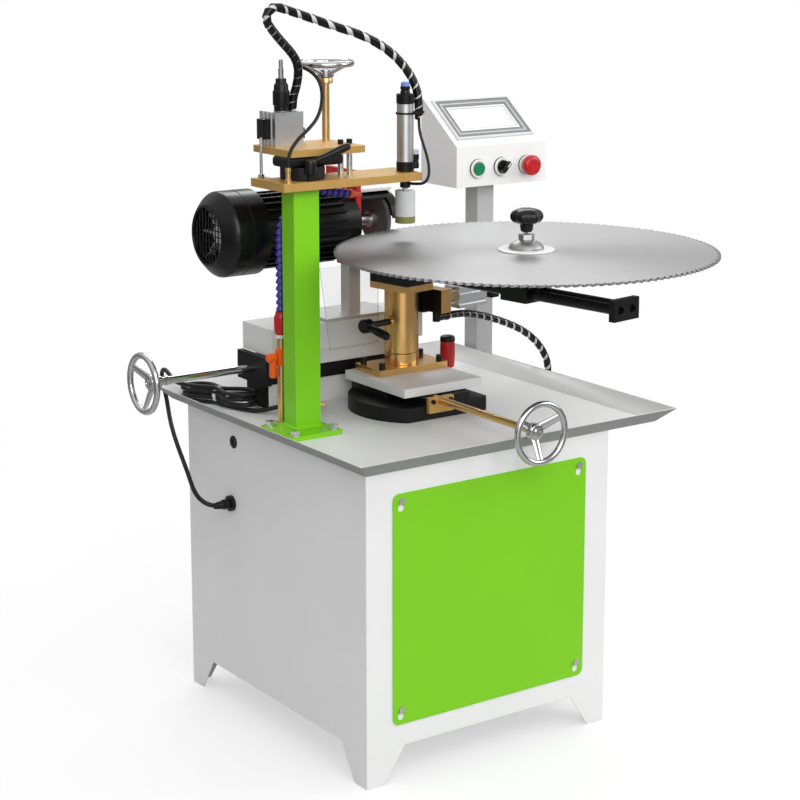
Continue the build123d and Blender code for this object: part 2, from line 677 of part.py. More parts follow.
def make_panel():
    x = around(0, PANEL_WIDTH)
    top = CABINET_HEIGHT - PANEL_TOP_DROP
    z = (top - PANEL_HEIGHT, top)
    front = -CABINET_DEPTH / 2
    y = (front - PANEL_SHEET, front)
    panel = bar(x, y, z)
    panel = fillet(panel.edges().filter_by(Axis.Y), PANEL_CORNER)
    screw_xs = (x[0] + PANEL_SCREW_SIDE, x[1] - PANEL_SCREW_SIDE)
    screw_zs = (z[0] + PANEL_SCREW_BOTTOM, z[1] - PANEL_SCREW_TOP)
    hole_y = (y[0] - PANEL_SHEET, y[1] + PANEL_SHEET)
    slot_half = PANEL_SCREW_SHANK + PIECE_GAP
    screws = []
    for sx in screw_xs:
        for sz in screw_zs:
            low = sz - KEYHOLE_DROP
            panel -= along_y(sx, hole_y, low, KEYHOLE_RADIUS)
            panel -= bar((sx - slot_half, sx + slot_half), hole_y, (low, sz))
            panel -= along_y(sx, hole_y, sz, slot_half)
            shank = along_y(sx, y, sz, PANEL_SCREW_SHANK)
            head_y = (y[0] - PANEL_SCREW_HEAD_HEIGHT, y[0])
            screws.append(shank + along_y(sx, head_y, sz, PANEL_SCREW_HEAD))
    nodes["front_panel"] = panel
    return screws


# Tray floor and its four flared rims
def tray_corners(grow, z):
    x0 = -CABINET_WIDTH / 2 - grow
    x1 = CABINET_WIDTH / 2 + TRAY_RIGHT_OVERHANG + grow
    y0 = -CABINET_DEPTH / 2 - grow
    y1 = CABINET_DEPTH / 2 + TRAY_BACK_OVERHANG + grow
    return [(x0, y0, z), (x1, y0, z), (x1, y1, z), (x0, y1, z)]


def make_tray():
    slope = math.atan2(RIM_FLARE, RIM_HEIGHT)
    wall = TRAY_SHEET / math.cos(slope)
    z = (CABINET_HEIGHT, TRAY_TOP)
    inner = tray_corners(-wall, CABINET_HEIGHT)
    nodes["tray_floor"] = bar((inner[0][0], inner[1][0]), (inner[0][1], inner[2][1]), z)
    outer_low = tray_corners(0, CABINET_HEIGHT)
    outer_high = tray_corners(RIM_FLARE, RIM_TOP)
    inner_high = tray_corners(RIM_FLARE - wall, RIM_TOP)
    rims = []
    for i in range(4):
        j = (i + 1) % 4
        low = [outer_low[i], outer_low[j], inner[j], inner[i]]
        high = [outer_high[i], outer_high[j], inner_high[j], inner_high[i]]
        rims.append(Solid.make_loft([Wire.make_polygon(low), Wire.make_polygon(high)], ruled=True))
    nodes["tray_rim"] = Compound(children=rims)


# Green column with its foot
def column_bolts():
    bolts = []
    foot_x = around(FOOT_X, COLUMN_FOOT_WIDTH - 2 * COLUMN_BOLT_INSET)
    foot_y = around(FOOT_Y, COLUMN_FOOT_DEPTH - 2 * COLUMN_BOLT_INSET)
    for x in foot_x:
        for y in foot_y:
            washer_top = COLUMN_FOOT_TOP + WASHER_THICKNESS
            shank = upright(x, y, (TRAY_TOP, washer_top), COLUMN_BOLT_SHANK)
            washer = upright(x, y, (COLUMN_FOOT_TOP, washer_top), WASHER_RADIUS)
            head = Pos(x, y, washer_top) * extrude(
                RegularPolygon(COLUMN_BOLT_HEAD, 6), COLUMN_BOLT_HEAD_HEIGHT)
            bolts.append(shank + washer + head)
    return bolts


def make_column():
    x = around(COLUMN_X, COLUMN_WIDTH)
    y = around(COLUMN_Y, COLUMN_DEPTH)
    foot = bar(around(FOOT_X, COLUMN_FOOT_WIDTH), around(FOOT_Y, COLUMN_FOOT_DEPTH),
               (TRAY_TOP, COLUMN_FOOT_TOP))
    for bolt_x in around(FOOT_X, COLUMN_FOOT_WIDTH - 2 * COLUMN_BOLT_INSET):
        for bolt_y in around(FOOT_Y, COLUMN_FOOT_DEPTH - 2 * COLUMN_BOLT_INSET):
            foot -= upright(bolt_x, bolt_y, (TRAY_TOP, COLUMN_FOOT_TOP),
                            COLUMN_BOLT_SHANK + RUNNING_FIT)
    tube = bar(x, y, (COLUMN_FOOT_TOP, COLUMN_TOP))
    tube -= bar((x[0] + COLUMN_WALL, x[1] - COLUMN_WALL), (y[0] + COLUMN_WALL, y[1] - COLUMN_WALL),
                (COLUMN_FOOT_TOP, COLUMN_TOP))
    nodes["column"] = foot + tube


# Gold arm plate on the column, with a tongue that carries the stop rod
FOOT_X = COLUMN_X - COLUMN_FOOT_LEFT
FOOT_Y = COLUMN_Y - COLUMN_FOOT_FRONT
ARM_X = (COLUMN_X - ARM_LEFT_OF_COLUMN, COLUMN_X - ARM_LEFT_OF_COLUMN + ARM_LENGTH)
ARM_Y = (COLUMN_Y - ARM_FRONT_OF_COLUMN, COLUMN_Y - ARM_FRONT_OF_COLUMN + ARM_DEPTH)
HOLD_X = ARM_X[1] - HOLD_INSET_X
HOLD_Y = ARM_Y[0] + HOLD_INSET_Y
STOP_X = ARM_X[0] + TONGUE_WIDTH / 2
STOP_Y = ARM_Y[1] + TONGUE_DEPTH / 2
UPPER_X = (SWIVEL_X - UPPER_LEFT_OF_SWIVEL, SWIVEL_X - UPPER_LEFT_OF_SWIVEL + UPPER_WIDTH)
UPPER_Y = (SWIVEL_Y - UPPER_FRONT_OF_SWIVEL, SWIVEL_Y - UPPER_FRONT_OF_SWIVEL + UPPER_DEPTH)
DEPTH_X = UPPER_X[1] - DEPTH_SCREW_INSET_X
DEPTH_Y = UPPER_Y[1] - DEPTH_SCREW_INSET_Y
LEVER_X = SWIVEL_X - LEVER_LEFT_OF_SWIVEL
LEVER_Y = SWIVEL_Y - LEVER_FRONT_OF_SWIVEL
HOSE_PORT_TOP = ARM_TOP + HOSE_PORT_HEIGHT
STROKE_X = UPPER_X[0] + STROKE_INSET_LEFT + STROKE_WIDTH / 2
STROKE_Y = UPPER_Y[1] - STROKE_DEPTH / 2


def make_arm_plate():
    plate = bar(ARM_X, ARM_Y, (COLUMN_TOP, ARM_TOP))
    tongue = bar((ARM_X[0], ARM_X[0] + TONGUE_WIDTH), (ARM_Y[1], ARM_Y[1] + TONGUE_DEPTH),
                 (COLUMN_TOP, ARM_TOP))
    plate -= upright(HOLD_X, HOLD_Y, (COLUMN_TOP, ARM_TOP), HOLD_ROD_RADIUS + RUNNING_FIT)
    nodes["arm_plate"] = Compound(children=[plate, tongue])


def make_stroke_unit():
    swivel = upright(SWIVEL_X, SWIVEL_Y, (ARM_TOP, SWIVEL_TOP), SWIVEL_RADIUS)
    saddle_z = (SWIVEL_TOP, UPPER_BOTTOM)
    swivel += bar(around(SWIVEL_X + SADDLE_SHIFT, SADDLE_WIDTH), around(SWIVEL_Y, SADDLE_DEPTH), saddle_z)
    port_x = SWIVEL_X - HOSE_PORT_LEFT
    port_y = SWIVEL_Y - HOSE_PORT_FRONT
    port = upright(port_x, port_y, (ARM_TOP, HOSE_PORT_TOP), PORT_RADIUS)
    swivel -= upright(LEVER_X, LEVER_Y, (ARM_TOP, UPPER_BOTTOM), LEVER_HUB_RADIUS + PIECE_GAP)
    nodes["swivel_base"] = Compound(children=[swivel, port])

    plate = bar(UPPER_X, UPPER_Y, (UPPER_BOTTOM, UPPER_TOP))
    plate -= upright(DEPTH_X, DEPTH_Y, (UPPER_BOTTOM, UPPER_TOP), DEPTH_SCREW_RADIUS + RUNNING_FIT)

    guide_x = UPPER_X[1] - GUIDE_ROD_INSET_X
    guide_y = UPPER_Y[0] + GUIDE_ROD_INSET_Y
    posts = [plate, upright(guide_x, guide_y, (ARM_TOP, UPPER_BOTTOM), GUIDE_ROD_RADIUS)]
    pin_x = guide_x - GUIDE_ROD_PITCH
    posts.append(upright(pin_x, guide_y, (ARM_TOP, UPPER_BOTTOM), GUIDE_ROD_RADIUS))
    for x in (guide_x, pin_x):
        posts.append(upright(x, guide_y, (UPPER_TOP, UPPER_TOP + CAP_SCREW_HEIGHT), CAP_SCREW_RADIUS))
    nut_top = ARM_TOP + STOP_NUT_HEIGHT
    stop = Pos(STOP_X, STOP_Y, ARM_TOP) * extrude(RegularPolygon(STOP_NUT_RADIUS, 6), STOP_NUT_HEIGHT)
    stop += upright(STOP_X, STOP_Y, (nut_top, ARM_TOP + STOP_ROD_HEIGHT), STOP_ROD_RADIUS)
    posts.append(stop)
    nodes["upper_plate"] = Compound(children=posts)


def make_stroke_cylinder():
    x = around(STROKE_X, STROKE_WIDTH)
    y = around(STROKE_Y, STROKE_DEPTH)
    z = (UPPER_TOP, STROKE_TOP)
    body = bar(x, y, z)
    pitch = STROKE_DEPTH / (STROKE_GROOVES + 1)
    for i in range(STROKE_GROOVES):
        groove_y = around(y[0] + (i + 1) * pitch, STROKE_GROOVE_WIDTH)
        body -= bar((x[0], x[0] + STROKE_GROOVE_DEPTH), groove_y, z)
        body -= bar((x[1] - STROKE_GROOVE_DEPTH, x[1]), groove_y, z)
    body += upright(STROKE_X, STROKE_Y, (STROKE_TOP, STROKE_TOP + NECK_HEIGHT), NECK_RADIUS)
    body -= upright(STROKE_X, STROKE_Y, (UPPER_TOP + STROKE_FLOOR, STROKE_TOP - STROKE_FLOOR), STROKE_BORE)
    rod_hole = STROKE_ROD_RADIUS + RUNNING_FIT
    body -= upright(STROKE_X, STROKE_Y, (UPPER_TOP + STROKE_FLOOR, STROKE_TOP + NECK_HEIGHT), rod_hole)

    adjuster_z = (STROKE_TOP + NECK_HEIGHT, ADJUSTER_TOP)
    adjuster = upright(STROKE_X, STROKE_Y, adjuster_z, ADJUSTER_RADIUS)
    adjuster = chamfer(adjuster.edges().group_by(Axis.Z)[-1], ADJUSTER_RADIUS - NECK_RADIUS)
    adjuster -= upright(STROKE_X, STROKE_Y, adjuster_z, rod_hole)
    sensor_z = around(UPPER_TOP + STROKE_HEIGHT / 2, SENSOR_HEIGHT)
    sensor = bar((x[0] - SENSOR_THICKNESS, x[0]), around(STROKE_Y, SENSOR_DEPTH), sensor_z)
    port_z = STROKE_TOP - STROKE_FLOOR - PORT_RADIUS
    port = along_x((x[1], x[1] + PORT_LENGTH), STROKE_Y, port_z, PORT_RADIUS)
    port_z = UPPER_TOP + STROKE_FLOOR + PORT_RADIUS
    elbow = along_x((x[1], x[1] + PORT_LENGTH), STROKE_Y, port_z, PORT_RADIUS)
    elbow += upright(x[1] + PORT_LENGTH, STROKE_Y, (port_z - PORT_RADIUS, port_z + PORT_LENGTH), PORT_RADIUS)
    nodes["stroke_cylinder"] = Compound(children=[body, adjuster, sensor, port, elbow])

    piston_z = (UPPER_TOP + STROKE_FLOOR + PIECE_GAP, UPPER_TOP + STROKE_FLOOR + STROKE_PISTON_HEIGHT)
    rod = upright(STROKE_X, STROKE_Y, piston_z, STROKE_BORE - RUNNING_FIT)
    rod += upright(STROKE_X, STROKE_Y, (piston_z[1], ADJUSTER_TOP + STROKE_ROD_SHOWS), STROKE_ROD_RADIUS)
    nodes["stroke_rod"] = rod


WHEEL_SEAT = UPPER_TOP + DEPTH_SCREW_ABOVE


def make_depth_screw():
    screw_z = (UPPER_BOTTOM - DEPTH_SCREW_BELOW, WHEEL_SEAT + WHEEL_HUB_LENGTH)
    screw = upright(DEPTH_X, DEPTH_Y, screw_z, DEPTH_SCREW_RADIUS)
    screw += upright(DEPTH_X, DEPTH_Y, (WHEEL_SEAT - DEPTH_COLLAR_HEIGHT, WHEEL_SEAT), DEPTH_COLLAR_RADIUS)
    wheel = Pos(DEPTH_X, DEPTH_Y, WHEEL_SEAT) * handwheel(TOP_WHEEL_RADIUS, DEPTH_SCREW_RADIUS)
    nodes["top_handwheel"] = Compound(children=[screw, wheel])


def make_top_lever():
    x = LEVER_X
    y = LEVER_Y
    stem_top = ARM_TOP + PIECE_GAP + LEVER_STEM_HEIGHT
    hub_top = stem_top + LEVER_HUB_HEIGHT
    lever = upright(x, y, (ARM_TOP + PIECE_GAP, stem_top), LEVER_STEM_RADIUS)
    lever += upright(x, y, (stem_top, hub_top), LEVER_HUB_RADIUS)
    start = (x, y, hub_top - LEVER_HANDLE_RADIUS)
    end = (x + LEVER_REACH, y - LEVER_HUB_RADIUS, hub_top - LEVER_HANDLE_RADIUS + LEVER_RISE)
    nodes["top_lever"] = lever + round_link(start, end, LEVER_HANDLE_RADIUS)


# Hold-down cylinder that presses the pad onto the blade
def make_hold_down():
    low_cap = (ARM_TOP, ARM_TOP + HOLD_CAP_LENGTH)
    tube_z = (low_cap[1], low_cap[1] + HOLD_TUBE_LENGTH)
    top_cap = (tube_z[1], tube_z[1] + HOLD_CAP_LENGTH)
    bore = HOLD_ROD_RADIUS + RUNNING_FIT
    tube = upright(HOLD_X, HOLD_Y, tube_z, HOLD_TUBE_RADIUS)
    tube -= upright(HOLD_X, HOLD_Y, tube_z, HOLD_BORE)
    lower = upright(HOLD_X, HOLD_Y, low_cap, HOLD_CAP_RADIUS)
    port_z = (low_cap[0] + low_cap[1]) / 2
    port_x = HOLD_X + HOLD_CAP_RADIUS + HOLD_PORT_OUT
    lower += along_x((HOLD_X, port_x), HOLD_Y, port_z, PORT_RADIUS)
    lower += upright(port_x, HOLD_Y, (port_z - PORT_RADIUS, port_z + HOLD_PORT_RISE), HOLD_PORT_RADIUS)
    lower -= upright(HOLD_X, HOLD_Y, low_cap, bore)
    upper = upright(HOLD_X, HOLD_Y, top_cap, HOLD_CAP_RADIUS)
    fitting_z = (top_cap[1], top_cap[1] + HOLD_FITTING_HEIGHT)
    upper += upright(HOLD_X, HOLD_Y, fitting_z, HOLD_FITTING_RADIUS)
    collar_z = (COLUMN_TOP - HOLD_COLLAR_HEIGHT, COLUMN_TOP)
    collar = upright(HOLD_X, HOLD_Y, collar_z, HOLD_COLLAR_RADIUS)
    collar -= upright(HOLD_X, HOLD_Y, collar_z, bore)
    nodes["hold_cylinder"] = Compound(children=[tube, lower, upper, collar])

    pad_top = collar_z[0] - PIECE_GAP - HOLD_ROD_BELOW
    piston_z = (tube_z[1] - PIECE_GAP - HOLD_PISTON_HEIGHT, tube_z[1] - PIECE_GAP)
    rod = upright(HOLD_X, HOLD_Y, (pad_top, piston_z[0]), HOLD_ROD_RADIUS)
    rod += upright(HOLD_X, HOLD_Y, piston_z, HOLD_BORE - RUNNING_FIT)
    pad_z = (pad_top - PAD_HEIGHT, pad_top)
    nodes["hold_pad"] = rod + upright(HOLD_X, HOLD_Y, pad_z, PAD_RADIUS)
    print("hold-down pad over the blade by", round(pad_z[0] - BLADE_TOP, 1))


# Motor, its fan and cover, the grinding wheel and the plate they hang on
MOTOR_BODY_X = (MOTOR_LEFT_X + FAN_COVER_LENGTH, MOTOR_LEFT_X + FAN_COVER_LENGTH + MOTOR_BODY_LENGTH)
MOUNT_PLATE_X = (MOUNT_X, MOUNT_X + MOUNT_PLATE_THICKNESS)


def make_motor():
    body_x = MOTOR_BODY_X
    body = along_x(body_x, 0, 0, MOTOR_BODY_RADIUS)
    fin = bar(body_x, around(0, FIN_THICKNESS), (MOTOR_BODY_RADIUS - FIN_THICKNESS, FIN_RADIUS))
    for i in range(FIN_COUNT):
        body += Rot(i * 360 / FIN_COUNT, 0, 0) * fin
    bell_x = (body_x[1], body_x[1] + BELL_LENGTH)
    body += along_x(bell_x, 0, 0, BELL_RADIUS)
    body -= along_x((body_x[0], bell_x[1]), 0, 0, SHAFT_RADIUS + RUNNING_FIT)
    place = Pos(0, MOTOR_AXIS_Y, MOTOR_AXIS_Z)
    nodes["motor_body"] = place * body

    nose_x = MOTOR_LEFT_X + FAN_COVER_TAPER
    slice_plane = Plane((0, 0, 0), x_dir=(0, 1, 0), z_dir=(1, 0, 0))
    def facets(radius, x):
        return slice_plane.offset(x) * RegularPolygon(radius, FAN_COVER_SIDES)
    cover = loft([facets(FAN_COVER_NOSE, MOTOR_LEFT_X), facets(FAN_COVER_RADIUS, nose_x)])
    cover += along_x((nose_x, body_x[0]), 0, 0, FAN_COVER_RADIUS)
    inner = FAN_COVER_RADIUS - FAN_COVER_WALL
    seat_x = body_x[0] - FAN_COVER_WALL
    hollow = along_x((nose_x, seat_x), 0, 0, inner)
    hollow += along_x((seat_x, body_x[0]), 0, 0, BELL_RADIUS)
    grille = along_x((MOTOR_LEFT_X, nose_x), 0, 0, FAN_COVER_NOSE - 2 * FAN_COVER_WALL)
    cover -= hollow + grille
    bar_x = (MOTOR_LEFT_X, MOTOR_LEFT_X + FAN_COVER_WALL)
    span = 2 * FAN_COVER_NOSE - 2 * FAN_COVER_WALL
    pitch = span / (GRILLE_BARS + 1)
    bars = None
    for i in range(GRILLE_BARS):
        at = -span / 2 + (i + 1) * pitch
        pair = bar(bar_x, around(at, GRILLE_BAR_WIDTH), around(0, span))
        pair += bar(bar_x, around(0, span), around(at, GRILLE_BAR_WIDTH))
        bars = pair if bars is None else bars + pair
    cover += bars & along_x(bar_x, 0, 0, FAN_COVER_NOSE - FAN_COVER_WALL)
    nodes["fan_cover"] = place * cover

    shaft_x = (nose_x + FAN_COVER_WALL, MOUNT_PLATE_X[1] + SHAFT_BEYOND_PLATE)
    rotor = along_x(shaft_x, 0, 0, SHAFT_RADIUS)
    fan_x = (shaft_x[0], shaft_x[0] + FAN_THICKNESS)
    rotor += along_x(fan_x, 0, 0, SHAFT_RADIUS * 2)
    for i in range(FAN_BLADES):
        rotor += Rot(i * 360 / FAN_BLADES, 0, 0) * bar(fan_x, around(0, FIN_THICKNESS), (0, FAN_RADIUS))
    nut_x = (GRIND_WHEEL_X - WHEEL_NUT_LENGTH, GRIND_WHEEL_X)
    rotor += along_x(nut_x, 0, 0, WHEEL_NUT_RADIUS)
    nodes["motor_rotor"] = place * rotor

    wheel_x = (GRIND_WHEEL_X, GRIND_WHEEL_X + GRIND_WHEEL_THICKNESS)
    wheel = along_x(wheel_x, 0, 0, GRIND_WHEEL_RADIUS)
    dish = Pos(wheel_x[1] - GRIND_WHEEL_DISH, 0, 0) * Rot(0, 90, 0) * Cone(
        WHEEL_NUT_RADIUS, GRIND_WHEEL_RADIUS - GRIND_WHEEL_DISH, GRIND_WHEEL_DISH, align=BASE)
    wheel -= dish
    wheel -= along_x(wheel_x, 0, 0, SHAFT_RADIUS)
    nodes["grinding_wheel"] = place * wheel


HEAD_POST_X = MOUNT_PLATE_X[1] + HEAD_SLEEVE_WALL + HEAD_POST_SIZE / 2 - MOUNT_PLATE_THICKNESS / 2
HEAD_POST_Y = REAR_Y - HEAD_POST_SIZE / 2


def make_head_mount():
    z = (MOTOR_AXIS_Z - MOUNT_PLATE_BOTTOM, MOTOR_AXIS_Z + MOUNT_PLATE_TOP)
    y = (MOTOR_AXIS_Y - MOUNT_PLATE_FRONT, MOTOR_AXIS_Y + MOUNT_PLATE_BACK)
    plate = bar(MOUNT_PLATE_X, y, z)
    plate -= along_x(MOUNT_PLATE_X, MOTOR_AXIS_Y, MOTOR_AXIS_Z, SHAFT_RADIUS + PIECE_GAP)
    sleeve_size = HEAD_POST_SIZE + 2 * HEAD_SLEEVE_WALL
    hole = HEAD_POST_SIZE + 2 * SIDE_GAP
    sleeve_z = (z[0] - HEAD_SLEEVE_HEIGHT, z[0])
    sleeve = bar(around(HEAD_POST_X, sleeve_size), around(HEAD_POST_Y, sleeve_size), sleeve_z)
    sleeve -= bar(around(HEAD_POST_X, hole), around(HEAD_POST_Y, hole), sleeve_z)
    nodes["mount_plate"] = plate + sleeve

    drum_x = (MOUNT_PLATE_X[1], MOUNT_PLATE_X[1] + GUARD_REACH)
    drum = along_x(drum_x, MOTOR_AXIS_Y, MOTOR_AXIS_Z, GUARD_RADIUS)
    hollow_x = (drum_x[0], drum_x[1] - GUARD_WALL)
    drum -= along_x(hollow_x, MOTOR_AXIS_Y, MOTOR_AXIS_Z, GUARD_RADIUS - GUARD_WALL)
    floor = MOTOR_AXIS_Z + GUARD_SKIRT
    drum &= bar(drum_x, around(MOTOR_AXIS_Y, 3 * GUARD_RADIUS), (floor, floor + 2 * GUARD_RADIUS))
    open_x = (drum_x[0], drum_x[1] - GUARD_LIP)
    open_y = (MOTOR_AXIS_Y - 2 * GUARD_RADIUS, MOTOR_AXIS_Y)
    drum -= bar(open_x, open_y, (floor, MOTOR_AXIS_Z + GUARD_OPEN_TOP))
    slot = SHAFT_RADIUS + PIECE_GAP
    drum -= bar(drum_x, around(MOTOR_AXIS_Y, 2 * slot), (floor, MOTOR_AXIS_Z + slot))
    strap_z = (MOTOR_AXIS_Z + GUARD_RADIUS, MOTOR_AXIS_Z + GUARD_RADIUS + STRAP_THICKNESS)
    strap = bar(drum_x, around(MOTOR_AXIS_Y, STRAP_DEPTH), strap_z)
    nodes["wheel_guard"] = Compound(children=[drum, strap])


# Rear cross slide: fixed way, saddle, white box, post and splash sheet
REAR_X = (REAR_X0, REAR_X0 + REAR_LENGTH)


def dovetail(centre, bottom, low_width, high_width, height):
    return [
        (centre - low_width / 2, bottom),
        (centre + low_width / 2, bottom),
        (centre + high_width / 2, bottom + height),
        (centre - high_width / 2, bottom + height),
    ]


def make_rear_slide():
    riser = bar(REAR_X, around(REAR_Y, RISER_DEPTH), (TRAY_TOP, RISER_TOP))
    way = bar(REAR_X, around(REAR_Y, REAR_WAY_DEPTH), (RISER_TOP, REAR_WAY_TOP))
    way += prism_x(dovetail(REAR_Y, REAR_WAY_TOP, REAR_DOVETAIL_BOTTOM, REAR_DOVETAIL_TOP,
                            REAR_DOVETAIL_HEIGHT), (REAR_X[0] + REAR_END_THICKNESS, REAR_X[1]))
    end_x = (REAR_X[0] - REAR_END_THICKNESS, REAR_X[0])
    way += bar(end_x, around(REAR_Y, REAR_DEPTH), (RISER_TOP, BOX_BOTTOM - PIECE_GAP))
    shaft_y = REAR_Y
    inside_x = (REAR_X[0] - REAR_END_THICKNESS, REAR_X[0] + LEFT_SHAFT_INSIDE)
    way -= along_x((REAR_X[0], inside_x[1] + SCREW_CHANNEL), shaft_y, LEFT_SHAFT_Z,
                   LEFT_SHAFT_RADIUS + SCREW_CHANNEL)
    way -= along_x(end_x, shaft_y, LEFT_SHAFT_Z, LEFT_SHAFT_RADIUS + RUNNING_FIT)
    nodes["rear_way"] = way + riser

    saddle_x = (REAR_X[0] + REAR_SADDLE_SHORTER, REAR_X[1] - REAR_SADDLE_SHORTER)
    saddle = bar(saddle_x, around(REAR_Y, REAR_WAY_DEPTH), (REAR_WAY_TOP, BOX_BOTTOM))
    saddle -= prism_x(dovetail(REAR_Y, REAR_WAY_TOP, REAR_DOVETAIL_BOTTOM + 2 * SIDE_GAP,
                               REAR_DOVETAIL_TOP + 2 * SIDE_GAP, REAR_DOVETAIL_HEIGHT + SIDE_GAP), saddle_x)

    box = bar(REAR_X, around(REAR_Y, REAR_DEPTH), (BOX_BOTTOM, BOX_TOP))
    box -= bar((REAR_X[0] + BOX_WALL, REAR_X[1] - BOX_WALL), around(REAR_Y, REAR_DEPTH - 2 * BOX_WALL),
               (BOX_BOTTOM + BOX_WALL, BOX_TOP - BOX_WALL))
    nodes["rear_carriage"] = Compound(children=[saddle, box])

    plate_x = around(HEAD_POST_X, POST_PLATE_LENGTH)
    post = bar(plate_x, around(REAR_Y, REAR_DEPTH), (BOX_TOP, POST_PLATE_TOP))
    post += bar(around(HEAD_POST_X, HEAD_POST_SIZE), around(HEAD_POST_Y, HEAD_POST_SIZE),
                (POST_PLATE_TOP, POST_PLATE_TOP + HEAD_POST_LENGTH))
    nodes["head_post"] = post

    splash_y = (REAR_Y - REAR_DEPTH / 2 - SPLASH_THICKNESS, REAR_Y - REAR_DEPTH / 2)
    left = REAR_X[0] + SPLASH_FROM_LEFT
    splash_outline = [
        (left, BOX_BOTTOM),
        (left + SPLASH_WIDTH, BOX_BOTTOM),
        (left + SPLASH_WIDTH, BOX_BOTTOM + SPLASH_HEIGHT),
        (left - SPLASH_TOP_NARROWER, BOX_BOTTOM + SPLASH_HEIGHT),
    ]
    nodes["splash_sheet"] = prism_y(splash_outline, splash_y)

    seat = REAR_X[0] - REAR_END_THICKNESS - LEFT_SHAFT_SHOWS
    shaft = along_x((seat - WHEEL_HUB_LENGTH, inside_x[1]), shaft_y, LEFT_SHAFT_Z, LEFT_SHAFT_RADIUS)
    wheel = handwheel(SIDE_WHEEL_RADIUS, LEFT_SHAFT_RADIUS)
    wheel = Pos(seat, shaft_y, LEFT_SHAFT_Z) * Rot(0, -90, 0) * Rot(0, 0, LEFT_WHEEL_TURN) * wheel
    nodes["left_handwheel"] = Compound(children=[shaft, wheel])


# Front slide: round base, saddle, silver plate, screw, bearing and lock lever
SADDLE_Y = (FRONT_BASE_FRONT + FRONT_TRAVEL, FRONT_BASE_FRONT + FRONT_TRAVEL + FRONT_SADDLE_LENGTH)
NUT_SIZE = 2 * (FRONT_SCREW_RADIUS + NUT_WALL)


